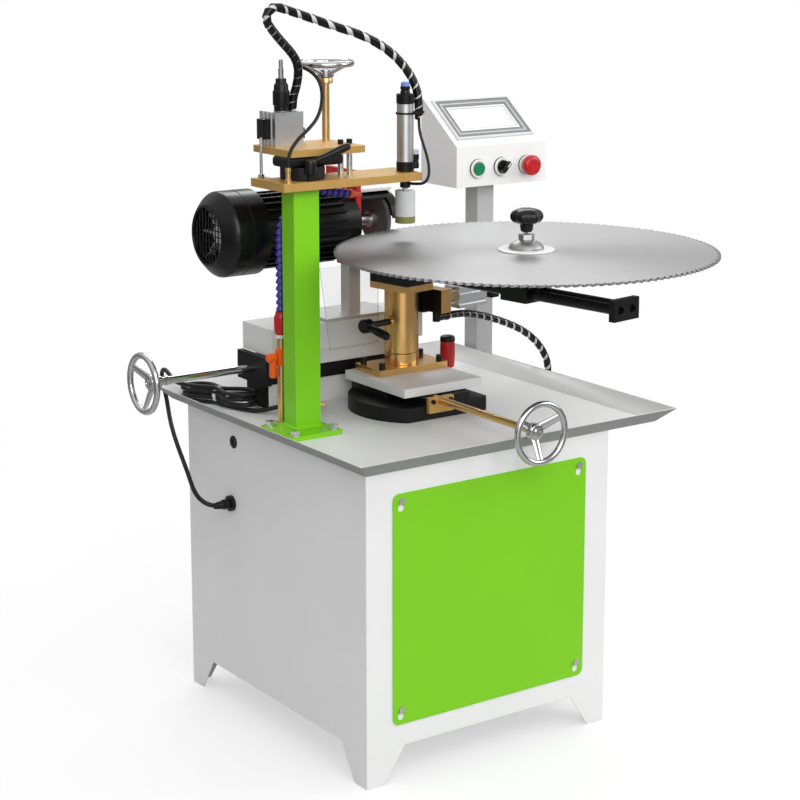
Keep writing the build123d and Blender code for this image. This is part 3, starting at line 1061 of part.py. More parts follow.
def make_front_slide():
    base_z = (TRAY_TOP, FRONT_BASE_TOP)
    base = upright(SLIDE_X, FRONT_BASE_Y, base_z, FRONT_BASE_RADIUS)
    keep_x = (SLIDE_X - FRONT_BASE_RADIUS, SLIDE_X + FRONT_BASE_RIGHT)
    base &= bar(keep_x, (FRONT_BASE_FRONT, FRONT_BASE_Y + FRONT_BASE_RADIUS), base_z)
    way_y = (FRONT_BASE_FRONT, SADDLE_Y[1])
    base += prism_y(dovetail(SLIDE_X, FRONT_BASE_TOP, FRONT_DOVETAIL_BOTTOM, FRONT_DOVETAIL_TOP,
                             FRONT_DOVETAIL_HEIGHT), way_y)
    way_top = FRONT_BASE_TOP + FRONT_DOVETAIL_HEIGHT
    nut_bottom = FRONT_SCREW_Z - NUT_SIZE / 2
    channel_x = around(FRONT_SCREW_X, NUT_SIZE + 2 * SCREW_CHANNEL)
    base -= bar(channel_x, way_y, (nut_bottom - SCREW_CHANNEL, way_top))
    inside_y = (FRONT_BASE_FRONT - BEARING_THICKNESS, FRONT_BASE_FRONT + FRONT_SCREW_INSIDE)

    foot = bar((SLIDE_X + FRONT_BASE_RIGHT, LOCK_X + LOCK_EYE_RADIUS),
               around(LOCK_Y, LOCK_EYE_WIDTH + 2 * PIECE_GAP + 2 * LOCK_EAR_THICKNESS),
               (TRAY_TOP, TRAY_TOP + LOCK_BASE_THICKNESS))
    pivot_z = TRAY_TOP + LOCK_PIVOT_HEIGHT
    inner = LOCK_EYE_WIDTH / 2 + PIECE_GAP
    for ear_y in ((LOCK_Y - inner - LOCK_EAR_THICKNESS, LOCK_Y - inner),
                  (LOCK_Y + inner, LOCK_Y + inner + LOCK_EAR_THICKNESS)):
        foot += bar(around(LOCK_X, 2 * LOCK_EYE_RADIUS), ear_y, (TRAY_TOP, pivot_z))
        foot += along_y(LOCK_X, ear_y, pivot_z, LOCK_EYE_RADIUS)
    foot += along_y(LOCK_X, (LOCK_Y - inner, LOCK_Y + inner), pivot_z, LOCK_PIN_RADIUS)
    nodes["front_base"] = base + foot

    lever = along_y(LOCK_X, around(LOCK_Y, LOCK_EYE_WIDTH), pivot_z, LOCK_EYE_RADIUS)
    grip_z = (pivot_z + LOCK_GRIP_START, pivot_z + LOCK_GRIP_START + LOCK_GRIP_LENGTH)
    lever += upright(LOCK_X, LOCK_Y, (pivot_z, grip_z[0]), LOCK_STEM_RADIUS)
    lever -= along_y(LOCK_X, around(LOCK_Y, LOCK_EYE_WIDTH), pivot_z, LOCK_PIN_RADIUS + RUNNING_FIT)
    grip = upright(LOCK_X, LOCK_Y, grip_z, LOCK_GRIP_RADIUS)
    nodes["lock_lever"] = lever + fillet(grip.edges().filter_by(GeomType.CIRCLE), LOCK_STEM_RADIUS)

    rail_z = (FRONT_BASE_TOP, SLIDE_PLATE_BOTTOM)
    rails = bar(around(SLIDE_X, FRONT_SADDLE_WIDTH), SADDLE_Y, rail_z)
    lean = (FRONT_DOVETAIL_TOP - FRONT_DOVETAIL_BOTTOM) * FRONT_SADDLE_HEIGHT / FRONT_DOVETAIL_HEIGHT
    rails -= prism_y(dovetail(SLIDE_X, FRONT_BASE_TOP, FRONT_DOVETAIL_BOTTOM + 2 * SIDE_GAP,
                              FRONT_DOVETAIL_BOTTOM + lean + 2 * SIDE_GAP, FRONT_SADDLE_HEIGHT), SADDLE_Y)
    nodes["slide_rails"] = rails
    plate = bar(around(SLIDE_X, SLIDE_PLATE_WIDTH), around(SLIDE_Y, SLIDE_PLATE_LENGTH),
                (SLIDE_PLATE_BOTTOM, SLIDE_PLATE_TOP))
    nut_y = (SADDLE_Y[0] + NUT_BACK, SADDLE_Y[0] + NUT_BACK + NUT_LENGTH)
    plate += bar(around(FRONT_SCREW_X, NUT_SIZE), nut_y, (nut_bottom, SLIDE_PLATE_BOTTOM))
    plate -= along_y(FRONT_SCREW_X, nut_y, FRONT_SCREW_Z, FRONT_SCREW_RADIUS + RUNNING_FIT)
    nodes["slide_plate"] = plate

    bearing_y = (FRONT_BASE_FRONT - BEARING_THICKNESS, FRONT_BASE_FRONT)
    bearing_z = (SLIDE_PLATE_BOTTOM - BEARING_UNDER_PLATE - BEARING_HEIGHT,
                 SLIDE_PLATE_BOTTOM - BEARING_UNDER_PLATE)
    bearing = bar(around(FRONT_SCREW_X, BEARING_WIDTH), bearing_y, bearing_z)
    bearing -= along_y(FRONT_SCREW_X, bearing_y, FRONT_SCREW_Z, FRONT_SCREW_RADIUS + RUNNING_FIT)
    nodes["front_bearing"] = bearing

    seat = FRONT_BASE_FRONT - BEARING_THICKNESS - FRONT_SCREW_SHOWS
    screw = along_y(FRONT_SCREW_X, (seat - WHEEL_HUB_LENGTH, inside_y[1]), FRONT_SCREW_Z, FRONT_SCREW_RADIUS)
    wheel = Rot(90, 0, 0) * Rot(0, 0, FRONT_WHEEL_TURN) * handwheel(SIDE_WHEEL_RADIUS, FRONT_SCREW_RADIUS)
    wheel = Pos(FRONT_SCREW_X, seat, FRONT_SCREW_Z) * wheel
    nodes["front_handwheel"] = Compound(children=[screw, wheel])
    bolts = []
    bolt_y = (bearing_y[0] - BEARING_BOLT_HEIGHT, bearing_y[0])
    for x in around(FRONT_SCREW_X, BEARING_BOLT_PITCH):
        bolts.append(along_y(x, bolt_y, FRONT_SCREW_Z, BEARING_BOLT_RADIUS))
    return bolts


# Gold post: a fixed foot with a pin, and the sleeve that the blade arm turns with
def make_post():
    foot = bar(around(POST_X, POST_FOOT_WIDTH), around(POST_Y, POST_FOOT_DEPTH),
               (SLIDE_PLATE_TOP, POST_FOOT_TOP))
    collar = upright(POST_X, POST_Y, (POST_FOOT_TOP, POST_COLLAR_TOP), POST_RADIUS)
    groove = upright(POST_X, POST_Y, (POST_COLLAR_TOP, SLEEVE_BOTTOM), POST_RADIUS - POST_GROOVE_DEPTH)
    pin = upright(POST_X, POST_Y, (SLEEVE_BOTTOM, FLANGE_BOTTOM - POST_GROOVE), POST_PIN_RADIUS)
    bolts = []
    for x in around(POST_X, POST_FOOT_WIDTH - 2 * POST_BOLT_INSET):
        for y in around(POST_Y, POST_FOOT_DEPTH - 2 * POST_BOLT_INSET):
            bolts.append(upright(x, y, (POST_FOOT_TOP, POST_FOOT_TOP + POST_BOLT_HEIGHT), POST_BOLT_RADIUS))
    nodes["post_foot"] = Compound(children=[foot, collar, groove, pin] + bolts)


SWUNG = Pos(POST_X, POST_Y, 0) * Rot(0, 0, ARM_SWING)
CLAMP_Z = SLEEVE_BOTTOM + CLAMP_HEIGHT
CLAMP_SEAT = POST_RADIUS + CLAMP_BOSS_LENGTH


def make_sleeve():
    sleeve = upright(0, 0, (SLEEVE_BOTTOM, FLANGE_BOTTOM), POST_RADIUS)
    sleeve += along_x((-CLAMP_SEAT, 0), 0, CLAMP_Z, CLAMP_BOSS_RADIUS)
    sleeve -= upright(0, 0, (SLEEVE_BOTTOM, FLANGE_BOTTOM), POST_PIN_RADIUS + RUNNING_FIT)
    sleeve += bar(around(0, FLANGE_WIDTH), around(0, FLANGE_DEPTH), (FLANGE_BOTTOM, FLANGE_TOP))
    nodes["post_sleeve"] = SWUNG * sleeve

    stud_x = (-CLAMP_SEAT - PIECE_GAP - CLAMP_STUD_LENGTH, -CLAMP_SEAT - PIECE_GAP)
    hub_x = (stud_x[0] - CLAMP_HUB_LENGTH, stud_x[0])
    lever = along_x(stud_x, 0, CLAMP_Z, CLAMP_STUD_RADIUS)
    lever += along_x(hub_x, 0, CLAMP_Z, CLAMP_HUB_RADIUS)
    hub_middle = (hub_x[0] + hub_x[1]) / 2
    lever += round_link((hub_middle, 0, CLAMP_Z), (hub_middle, -CLAMP_REACH, CLAMP_Z - CLAMP_DROP),
                        CLAMP_HANDLE_RADIUS)
    nodes["clamp_lever"] = SWUNG * lever


# Blade arm: head block, two bars, end plate, arbor slider, blade and knob
def make_blade_arm():
    block = bar(around(0, FLANGE_WIDTH), around(0, FLANGE_DEPTH),
                (FLANGE_TOP, FLANGE_TOP + HEAD_BLOCK_HEIGHT))
    bar_y = (BAR_BACK - BAR_LENGTH, BAR_BACK)
    bars = []
    for x in around(0, BAR_PITCH):
        block -= along_y(x, (-FLANGE_DEPTH / 2, BAR_BACK), BAR_Z, BAR_RADIUS)
        bars.append(SWUNG * along_y(x, bar_y, BAR_Z, BAR_RADIUS))
    plate_y = (bar_y[0] - END_PLATE_THICKNESS, bar_y[0])
    plate = bar(around(0, END_PLATE_WIDTH), plate_y, around(BAR_Z, END_PLATE_HEIGHT))
    for x in around(0, BAR_PITCH):
        plate -= along_y(x, (plate_y[0], plate_y[0] + END_SCREW_SINK), BAR_Z, END_SCREW_RADIUS)
    nodes["blade_arm"] = Compound(children=[SWUNG * block, SWUNG * plate] + bars)

    slider_y = around(-ARBOR_REACH, SLIDER_LENGTH)
    slider = bar(around(0, SLIDER_WIDTH), slider_y, (BAR_Z - SLIDER_BELOW, SLIDER_TOP))
    for x in around(0, BAR_PITCH):
        slider -= along_y(x, slider_y, BAR_Z, BAR_RADIUS + RUNNING_FIT)
    slider += upright(0, -ARBOR_REACH, (SLIDER_TOP, HOUSING_TOP), HOUSING_RADIUS)
    bottom = HOUSING_TOP - SPINDLE_DEPTH
    slider -= upright(0, -ARBOR_REACH, (bottom - PIECE_GAP, HOUSING_TOP), SPINDLE_RADIUS + RUNNING_FIT)
    nodes["arbor_slider"] = SWUNG * slider

    spindle = upright(0, -ARBOR_REACH, (bottom, BLADE_BOTTOM), SPINDLE_RADIUS)
    spindle += upright(0, -ARBOR_REACH, (HOUSING_TOP + PIECE_GAP, BLADE_BOTTOM), LOWER_FLANGE_RADIUS)
    spindle += upright(0, -ARBOR_REACH, (BLADE_BOTTOM, BLADE_TOP), BLADE_BORE)
    disc_top = BLADE_TOP + CLAMP_DISC_THICKNESS
    dome_top = disc_top + DOME_HEIGHT
    nut_top = dome_top + CLAMP_NUT_HEIGHT
    spindle += upright(0, -ARBOR_REACH, (BLADE_TOP, nut_top), STUD_RADIUS)

    clamp = upright(0, -ARBOR_REACH, (BLADE_TOP, disc_top), CLAMP_DISC_RADIUS)
    clamp += cone_up(0, -ARBOR_REACH, (disc_top, dome_top), DOME_RADIUS, DOME_TOP_RADIUS)
    clamp += upright(0, -ARBOR_REACH, (dome_top, nut_top), CLAMP_NUT_RADIUS)
    clamp -= upright(0, -ARBOR_REACH, (BLADE_TOP, nut_top), STUD_RADIUS)
    nodes["blade_arbor"] = Compound(children=[SWUNG * spindle, SWUNG * clamp])

    stem_z = (nut_top, nut_top + KNOB_STEM_HEIGHT)
    knob_z = (stem_z[1], stem_z[1] + KNOB_HEIGHT)
    knob = upright(0, 0, knob_z, KNOB_RADIUS)
    for i in range(KNOB_LOBES):
        turn = math.radians(i * 360 / KNOB_LOBES)
        reach = KNOB_RADIUS + KNOB_SCALLOP / 2
        knob -= upright(reach * math.cos(turn), reach * math.sin(turn), knob_z, KNOB_SCALLOP)
    knob = fillet(knob.edges().group_by(Axis.Z)[-1], KNOB_HEIGHT / 8)
    knob += upright(0, 0, stem_z, KNOB_STEM_RADIUS)
    nodes["blade_knob"] = SWUNG * Pos(0, -ARBOR_REACH, 0) * knob


def make_blade():
    root = BLADE_RADIUS - TOOTH_DEPTH
    step = 2 * math.pi / BLADE_TEETH
    points = []
    for i in range(BLADE_TEETH):
        start = i * step
        land_end = HOOK_SHARE + LAND_SHARE
        for radius, share in ((root, 0.0), (BLADE_RADIUS, HOOK_SHARE), (BLADE_RADIUS, land_end)):
            turn = start + share * step
            points.append((radius * math.cos(turn), radius * math.sin(turn)))
    disc = extrude(Polygon(*points, align=None), BLADE_THICKNESS)
    disc -= Cylinder(BLADE_BORE, BLADE_THICKNESS, align=BASE)
    nodes["blade"] = SWUNG * Pos(0, -ARBOR_REACH, BLADE_BOTTOM) * disc


# Tooth feed unit: bracket, gold block, air cylinder and pawl
def make_feed():
    bracket_x = (FLANGE_WIDTH / 2, FLANGE_WIDTH / 2 + BRACKET_THICKNESS)
    bracket_y = (-BRACKET_DEPTH, 0)
    bracket = bar(bracket_x, bracket_y, (FLANGE_TOP - BRACKET_HEIGHT, FLANGE_TOP))
    block_x = (bracket_x[1], bracket_x[1] + FEED_BLOCK_WIDTH)
    block_z = (FLANGE_TOP - BRACKET_HEIGHT, FLANGE_TOP - BRACKET_HEIGHT + FEED_BLOCK_HEIGHT)
    block = bar(block_x, (-FEED_BLOCK_FRONT, FEED_BLOCK_DEPTH - FEED_BLOCK_FRONT), block_z)
    axis_y = FEED_BLOCK_DEPTH / 2 - FEED_BLOCK_FRONT
    elbow_x = (block_x[0] + block_x[1]) / 2
    elbow_z = block_z[0] - ELBOW_DROP
    block += upright(elbow_x, axis_y, (elbow_z - ELBOW_RADIUS, block_z[0]), ELBOW_RADIUS)
    block += along_x((elbow_x, elbow_x + ELBOW_REACH), axis_y, elbow_z, ELBOW_RADIUS)
    nodes["feed_block"] = Compound(children=[SWUNG * bracket, SWUNG * block])
    outlet_x = elbow_x + ELBOW_REACH + FEED_HOSE_ROOM
    hose_ends["feed"] = [tuple((SWUNG * Pos(outlet_x + run, axis_y, elbow_z)).position) for run in (0, 22)]
    axis_z = (block_z[0] + block_z[1]) / 2
    body_x = (block_x[1] + STANDOFF_LENGTH, block_x[1] + STANDOFF_LENGTH + FEED_LENGTH)
    body = bar(body_x, around(axis_y, FEED_SIZE), around(axis_z, FEED_SIZE))
    half = FEED_SIZE / 2
    for side in (-1, 1):
        edge = sorted((side * half, side * (half - FEED_GROOVE_DEPTH)))
        deep = (axis_y + edge[0], axis_y + edge[1])
        for groove in around(axis_z, FEED_SIZE / 2):
            body -= bar(body_x, deep, around(groove, FEED_GROOVE_WIDTH))
    body -= along_x((body_x[0] + FEED_END_WALL, body_x[1] - FEED_END_WALL), axis_y, axis_z, FEED_BORE)
    body -= along_x((body_x[1] - FEED_END_WALL, body_x[1]), axis_y, axis_z, FEED_ROD_RADIUS + RUNNING_FIT)
    for z in around(axis_z, STANDOFF_PITCH):
        body += along_x((block_x[1], body_x[0]), axis_y, z, STANDOFF_RADIUS)
    nodes["feed_cylinder"] = SWUNG * body

    middle = (body_x[0] + body_x[1]) / 2
    piston_x = around(middle, FEED_PISTON_LENGTH)
    pawl_x = (body_x[1] + FEED_ROD_SHOWS, body_x[1] + FEED_ROD_SHOWS + PAWL_WIDTH)
    pawl = along_x(piston_x, axis_y, axis_z, FEED_BORE - RUNNING_FIT)
    pawl += along_x((piston_x[1], pawl_x[0]), axis_y, axis_z, FEED_ROD_RADIUS)
    foot_z = around(axis_z, PAWL_FOOT_HEIGHT)
    pawl += bar(pawl_x, around(axis_y, PAWL_DEPTH), foot_z)
    finger_z = (foot_z[1], BLADE_BOTTOM - PAWL_UNDER_BLADE)
    finger_x = around((pawl_x[0] + pawl_x[1]) / 2, PAWL_FINGER_WIDTH)
    pawl += bar(finger_x, around(axis_y, PAWL_FINGER_DEPTH), finger_z)
    nodes["feed_pawl"] = SWUNG * pawl


# Control console, its buttons and its post
def make_console():
    x = (CONSOLE_X0, CONSOLE_X0 + CONSOLE_WIDTH)
    front = CONSOLE_FRONT
    back = CONSOLE_FRONT + CONSOLE_DEPTH
    front_top = CONSOLE_BOTTOM + CONSOLE_FRONT_HEIGHT
    back_top = CONSOLE_BOTTOM + CONSOLE_BACK_HEIGHT
    crest = back - CONSOLE_TOP_FLAT

    outer = [
        (front, CONSOLE_BOTTOM),
        (front, front_top),
        (crest, back_top),
        (back, back_top),
        (back, CONSOLE_BOTTOM),
    ]
    inset = CONSOLE_WALL
    inner = [
        (front + inset, CONSOLE_BOTTOM + inset),
        (front + inset, front_top - inset / 2),
        (crest, back_top - 2 * inset),
        (back - inset, back_top - 2 * inset),
        (back - inset, CONSOLE_BOTTOM + inset),
    ]
    case = prism_x(outer, x) - prism_x(inner, (x[0] + inset, x[1] - inset))
    button_z = CONSOLE_BOTTOM + BUTTON_HEIGHT
    bezel_y = (front - BUTTON_BEZEL_LENGTH, front)
    hole_y = (bezel_y[0], front + CONSOLE_WALL)
    for offset in BUTTON_XS:
        case += along_y(x[0] + offset, bezel_y, button_z, BUTTON_BEZEL_RADIUS)
    for offset, shank in zip(BUTTON_XS, (BUTTON_RADIUS, BUTTON_RADIUS, BUTTON_SHANK)):
        case -= along_y(x[0] + offset, hole_y, button_z, shank + RUNNING_FIT)

    rise = back_top - front_top
    run = crest - front
    slope = math.degrees(math.atan2(rise, run))
    middle = Pos((x[0] + x[1]) / 2 - SCREEN_SHIFT, (front + crest) / 2, (front_top + back_top) / 2)
    seat = middle * Rot(slope, 0, 0) * Pos(0, SCREEN_UP, 0)
    bezel = Box(SCREEN_WIDTH, SCREEN_LENGTH, SCREEN_RAISED, align=BASE)
    bezel = fillet(bezel.edges().filter_by(Axis.Z), SCREEN_CORNER)
    window = Pos(0, 0, SCREEN_RAISED - SCREEN_SINK) * Box(
        SCREEN_WIDTH - 2 * SCREEN_BORDER, SCREEN_LENGTH - 2 * SCREEN_BORDER, SCREEN_SINK, align=BASE)
    nodes["touch_screen"] = seat * (bezel - window)
    nodes["console_case"] = case

    tail = front + CONSOLE_WALL + BUTTON_INSIDE
    x_start, x_select, x_stop = (x[0] + offset for offset in BUTTON_XS)
    nodes["start_button"] = along_y(x_start, (bezel_y[0] - BUTTON_OUT, tail), button_z, BUTTON_RADIUS)
    selector = along_y(x_select, (bezel_y[0] - BUTTON_OUT, tail), button_z, BUTTON_RADIUS)
    blade_y = (bezel_y[0] - BUTTON_OUT - SELECTOR_LENGTH, bezel_y[0] - BUTTON_OUT)
    wing = bar(around(0, SELECTOR_BLADE), blade_y, around(0, 2 * BUTTON_RADIUS))
    selector += Pos(x_select, 0, button_z) * Rot(0, 45, 0) * wing
    nodes["selector"] = selector
    head_back = bezel_y[0] - STOP_GAP
    stop = along_y(x_stop, (head_back, tail), button_z, BUTTON_SHANK)
    head = along_y(x_stop, (head_back - STOP_HEAD_LENGTH, head_back), button_z, STOP_RADIUS)
    nodes["stop_button"] = stop + fillet(head.edges().group_by(Axis.Y)[0], STOP_HEAD_LENGTH / 3)

    post_x = around(CONSOLE_POST_X, CONSOLE_POST_SIZE)
    post_y = around(CONSOLE_POST_Y, CONSOLE_POST_SIZE)
    leg_z = (CONSOLE_LEG_BOTTOM, CONSOLE_LEG_BOTTOM + CONSOLE_POST_SIZE)
    wall_x = CABINET_WIDTH / 2
    flange_x = (wall_x, wall_x + CONSOLE_FLANGE_THICKNESS)
    post = bar(post_x, post_y, (leg_z[0], CONSOLE_BOTTOM))
    post += bar((flange_x[1], post_x[0]), post_y, leg_z)
    inner = CONSOLE_POST_SIZE - 2 * CONSOLE_POST_WALL
    inside_y = around(CONSOLE_POST_Y, inner)
    inside_z = around(leg_z[0] + CONSOLE_POST_SIZE / 2, inner)
    post -= bar(around(CONSOLE_POST_X, inner), inside_y, (inside_z[0], CONSOLE_BOTTOM))
    post -= bar((flange_x[1], CONSOLE_POST_X), inside_y, inside_z)
    flange_y = (CABINET_DEPTH / 2 - CONSOLE_FLANGE_SIZE, CABINET_DEPTH / 2)
    post += bar(flange_x, flange_y, around(leg_z[0] + CONSOLE_POST_SIZE / 2, CONSOLE_FLANGE_SIZE))
    nodes["console_post"] = post


# Coolant stand pipe, tap, valve and the jointed hose that bends round to the wheel
def make_coolant():
    tap_z = (TRAY_TOP + TAP_HEIGHT, TRAY_TOP + TAP_HEIGHT + TAP_BODY_HEIGHT)
    valve_z = (tap_z[1] + PIPE_ABOVE_TAP, tap_z[1] + PIPE_ABOVE_TAP + VALVE_HEIGHT)
    pipe = upright(COOLANT_X, COOLANT_Y, (TRAY_TOP, valve_z[0]), PIPE_RADIUS)
    pipe += upright(COOLANT_X, COOLANT_Y, tap_z, TAP_BODY_RADIUS)
    pipe += upright(COOLANT_X, COOLANT_Y, valve_z, VALVE_RADIUS)
    middle = (tap_z[0] + tap_z[1]) / 2
    face = COOLANT_X - TAP_BODY_RADIUS
    stem_x = (face - TAP_STEM_GAP, COOLANT_X)
    pipe -= along_x(stem_x, COOLANT_Y, middle, TAP_STEM_RADIUS + RUNNING_FIT)
    nodes["coolant_pipe"] = pipe
    tap = along_x(stem_x, COOLANT_Y, middle, TAP_STEM_RADIUS)
    tap += along_x((stem_x[0] - TAP_BOSS_LENGTH, stem_x[0]), COOLANT_Y, middle, TAP_BOSS_RADIUS)
    handle_x = (stem_x[0] - TAP_HANDLE_THICKNESS, stem_x[0])
    tap += bar(handle_x, around(COOLANT_Y, TAP_HANDLE_WIDTH), (middle - TAP_HANDLE_DOWN, middle))
    nodes["coolant_tap"] = tap

    profile = Polygon((0, 0), (BEAD_RADIUS, 0), (BEAD_WAIST, BEAD_PITCH), (0, BEAD_PITCH), align=None)
    bead = revolve(Plane.XZ * profile, Axis.Z)
    place = Pos(COOLANT_X, COOLANT_Y, valve_z[1])
    beads = []
    for i in range(BEAD_COUNT):
        beads.append(place * bead)
        turn = BEND_TURN if STRAIGHT_BEAD_COUNT <= i < STRAIGHT_BEAD_COUNT + BEND_BEAD_COUNT else 0
        place = place * Pos(0, 0, BEAD_PITCH) * Rot(0, turn, 0)
    hose = beads[0]
    for piece in beads[1:]:
        hose += piece
    hose += place * Cone(BEAD_RADIUS, NOZZLE_TIP_RADIUS, NOZZLE_LENGTH, align=BASE)
    nodes["coolant_hose"] = hose
    tip = place * Pos(0, 0, NOZZLE_LENGTH)
    print("coolant nozzle tip at", tip.position)


# Cords: straight runs joined by arcs that are as large as the runs allow
def bend_radii(points):
    radii = []
    for before, here, after in zip(points, points[1:], points[2:]):
        run_in = Vector(*here) - Vector(*before)
        run_out = Vector(*after) - Vector(*here)
        half_turn = math.radians(run_in.get_angle(run_out)) / 2
        radii.append(CORD_FILL * min(run_in.length, run_out.length) / math.tan(half_turn))
    return radii


def cord(name, points, diameter):
    radii = bend_radii(points)
    path = FilletPolyline(*points, radius=radii)
    start = Plane(origin=path @ 0, z_dir=path % 0)
    tube = sweep(start * Circle(diameter / 2), path=path)
    plain = math.pi * diameter ** 2 / 4 * path.length
    print(name, "length", round(path.length), "least radius", round(min(radii), 1),
          "volume share", round(tube.volume / plain, 4))
    return path, tube


def least_gap(path, diameter):
    """The least room between a cord and itself, away from its own neighbourhood."""
    count = round(path.length / diameter * 3)
    spots = [path @ (i / count) for i in range(count + 1)]
    skip = 9
    best = min((spots[i] - spots[j]).length for i in range(count) for j in range(i + skip, count + 1))
    return best - diameter


HANK_STEP = CORD_DIAMETER + HANK_ROOM
CORD_LIES = TRAY_TOP + HANK_SEAT + CORD_DIAMETER / 2
PLUG_LIES = TRAY_TOP + HANK_SEAT + PLUG_RADIUS


def in_hank(along, across, up):
    """A point given from the hank's middle, with the hank lying flat on the tray."""
    line = Vector(*HANK_ALONG).normalized()
    side = Vector(-line.Y, line.X)
    middle = Vector(LEFT_WALL + HANK_RIGHT, HANK_BACK, CORD_LIES)
    return tuple(middle + line * along + side * across + Vector(0, 0, up))


def half_loop(k):
    """Half a loop's outline on one side, from the tied waist to its end."""
    long = HANK_HALF_LENGTH * LOOP_LENGTHS[k % len(LOOP_LENGTHS)]
    wide = HANK_HALF_WIDTH * LOOP_WIDTHS[k % len(LOOP_WIDTHS)]
    return [(0, HANK_WAIST)] + [(u * long, v * wide) for u, v in LOBE]


def hank_points():
    """The loops from the top layer down: out level on one side, back a layer lower on the other."""
    points = []
    for k in range(HANK_LOOPS):
        level = (HANK_LOOPS - k) * HANK_STEP
        half = half_loop(k)
        long = half[-1][0]
        points += [in_hank(u, -v, level) for u, v in half]
        for u, v in half[::-1] + [(-u, v) for u, v in half[1:]]:
            points.append(in_hank(u, v, level - HANK_STEP * (long - u) / (2 * long)))
        points += [in_hank(-u, -v, level - HANK_STEP) for u, v in half[:0:-1]]
    return points


def power_points():
    gland = (LEFT_WALL - GLAND_LENGTH, GLAND_BACK, CABINET_HEIGHT - GLAND_DROP)
    top = HANK_LOOPS * HANK_STEP
    lead = [(-0.72, -0.98), (-0.46, -0.95), (-0.24, -0.62)]
    loops = [in_hank(u * HANK_HALF_LENGTH, v * HANK_HALF_WIDTH, top) for u, v in lead]
    line = Vector(*loops[1]) - Vector(*loops[0])
    run_in = tuple(Vector(*loops[0]) - line.normalized() * 20)
    free = [gland, (gland[0] - 16, gland[1], gland[2])]
    climb = [
        (-48.5, 138.5, -142), (-57, 150, -133.5), (-58, 165.5, -123.5), (-54, 184, -113), (-47, 208, -101.5),
        (-39, 237, -89), (-30, 269, -76), (-21, 300, -62.5), (-12, 328, -49), (-3, 353, -36),
        (5.5, 374, -22.5), (10.5, 389.5, -7), (11, 399, 10), (9, 402, 27.5), (6, 394.5, 42), (3, 379, 48.5),
        (1, 361.5, 45), (-0.5, 344, 38),
    ]
    free += [(LEFT_WALL + x, y, CABINET_HEIGHT + z) for x, y, z in climb]
    free += [run_in, loops[0]]
    loops += hank_points()
    loops += [in_hank(0, -HANK_WAIST, 0), in_hank(0.24 * HANK_HALF_LENGTH, -0.5 * HANK_HALF_WIDTH, 0)]
    tail = [(47, 198, 0), (52.5, 178, 0), (60, 160, 0.01), (70, 145, 0.24), (82, 134, 0.69), (95, 127, 1),
            (107, 122.6, 1)]
    rise = PLUG_LIES - CORD_LIES
    loops += [(LEFT_WALL + x, y, CORD_LIES + rise * share) for x, y, share in tail]
    return free, loops


def make_power_cord():
    free, loops = power_points()
    nodes["power_cord"] = cord("power_cord", free, CORD_DIAMETER)[1]
    path, hank = cord("power_hank", loops, CORD_DIAMETER)
    print("power_hank least gap", round(least_gap(path, CORD_DIAMETER), 2))
    nodes["power_hank"] = hank
    plane = Plane(origin=path @ 1, x_dir=(0, 0, 1), z_dir=path % 1)
    plug = plane * Cylinder(PLUG_NECK_RADIUS, PLUG_NECK_LENGTH, align=BASE)
    plug += plane * Pos(0, 0, PLUG_NECK_LENGTH) * Cylinder(PLUG_RADIUS, PLUG_LENGTH, align=BASE)
    for up, side in ((-PIN_SPREAD / 2, -PIN_SPREAD), (-PIN_SPREAD / 2, PIN_SPREAD), (PIN_SPREAD, 0)):
        pin = Box(PIN_SIZE, PIN_SIZE, PIN_LENGTH, align=BASE)
        plug += plane * Pos(up, side, PLUG_NECK_LENGTH + PLUG_LENGTH) * pin
    nodes["power_plug"] = plug
    cords["power_cord"] = free
    cords["power_hank"] = loops


def from_column(x, y, z):
    """A point given from the column's middle and the top of the gold arm."""
    return (COLUMN_X + x, COLUMN_Y + y, ARM_TOP + z)


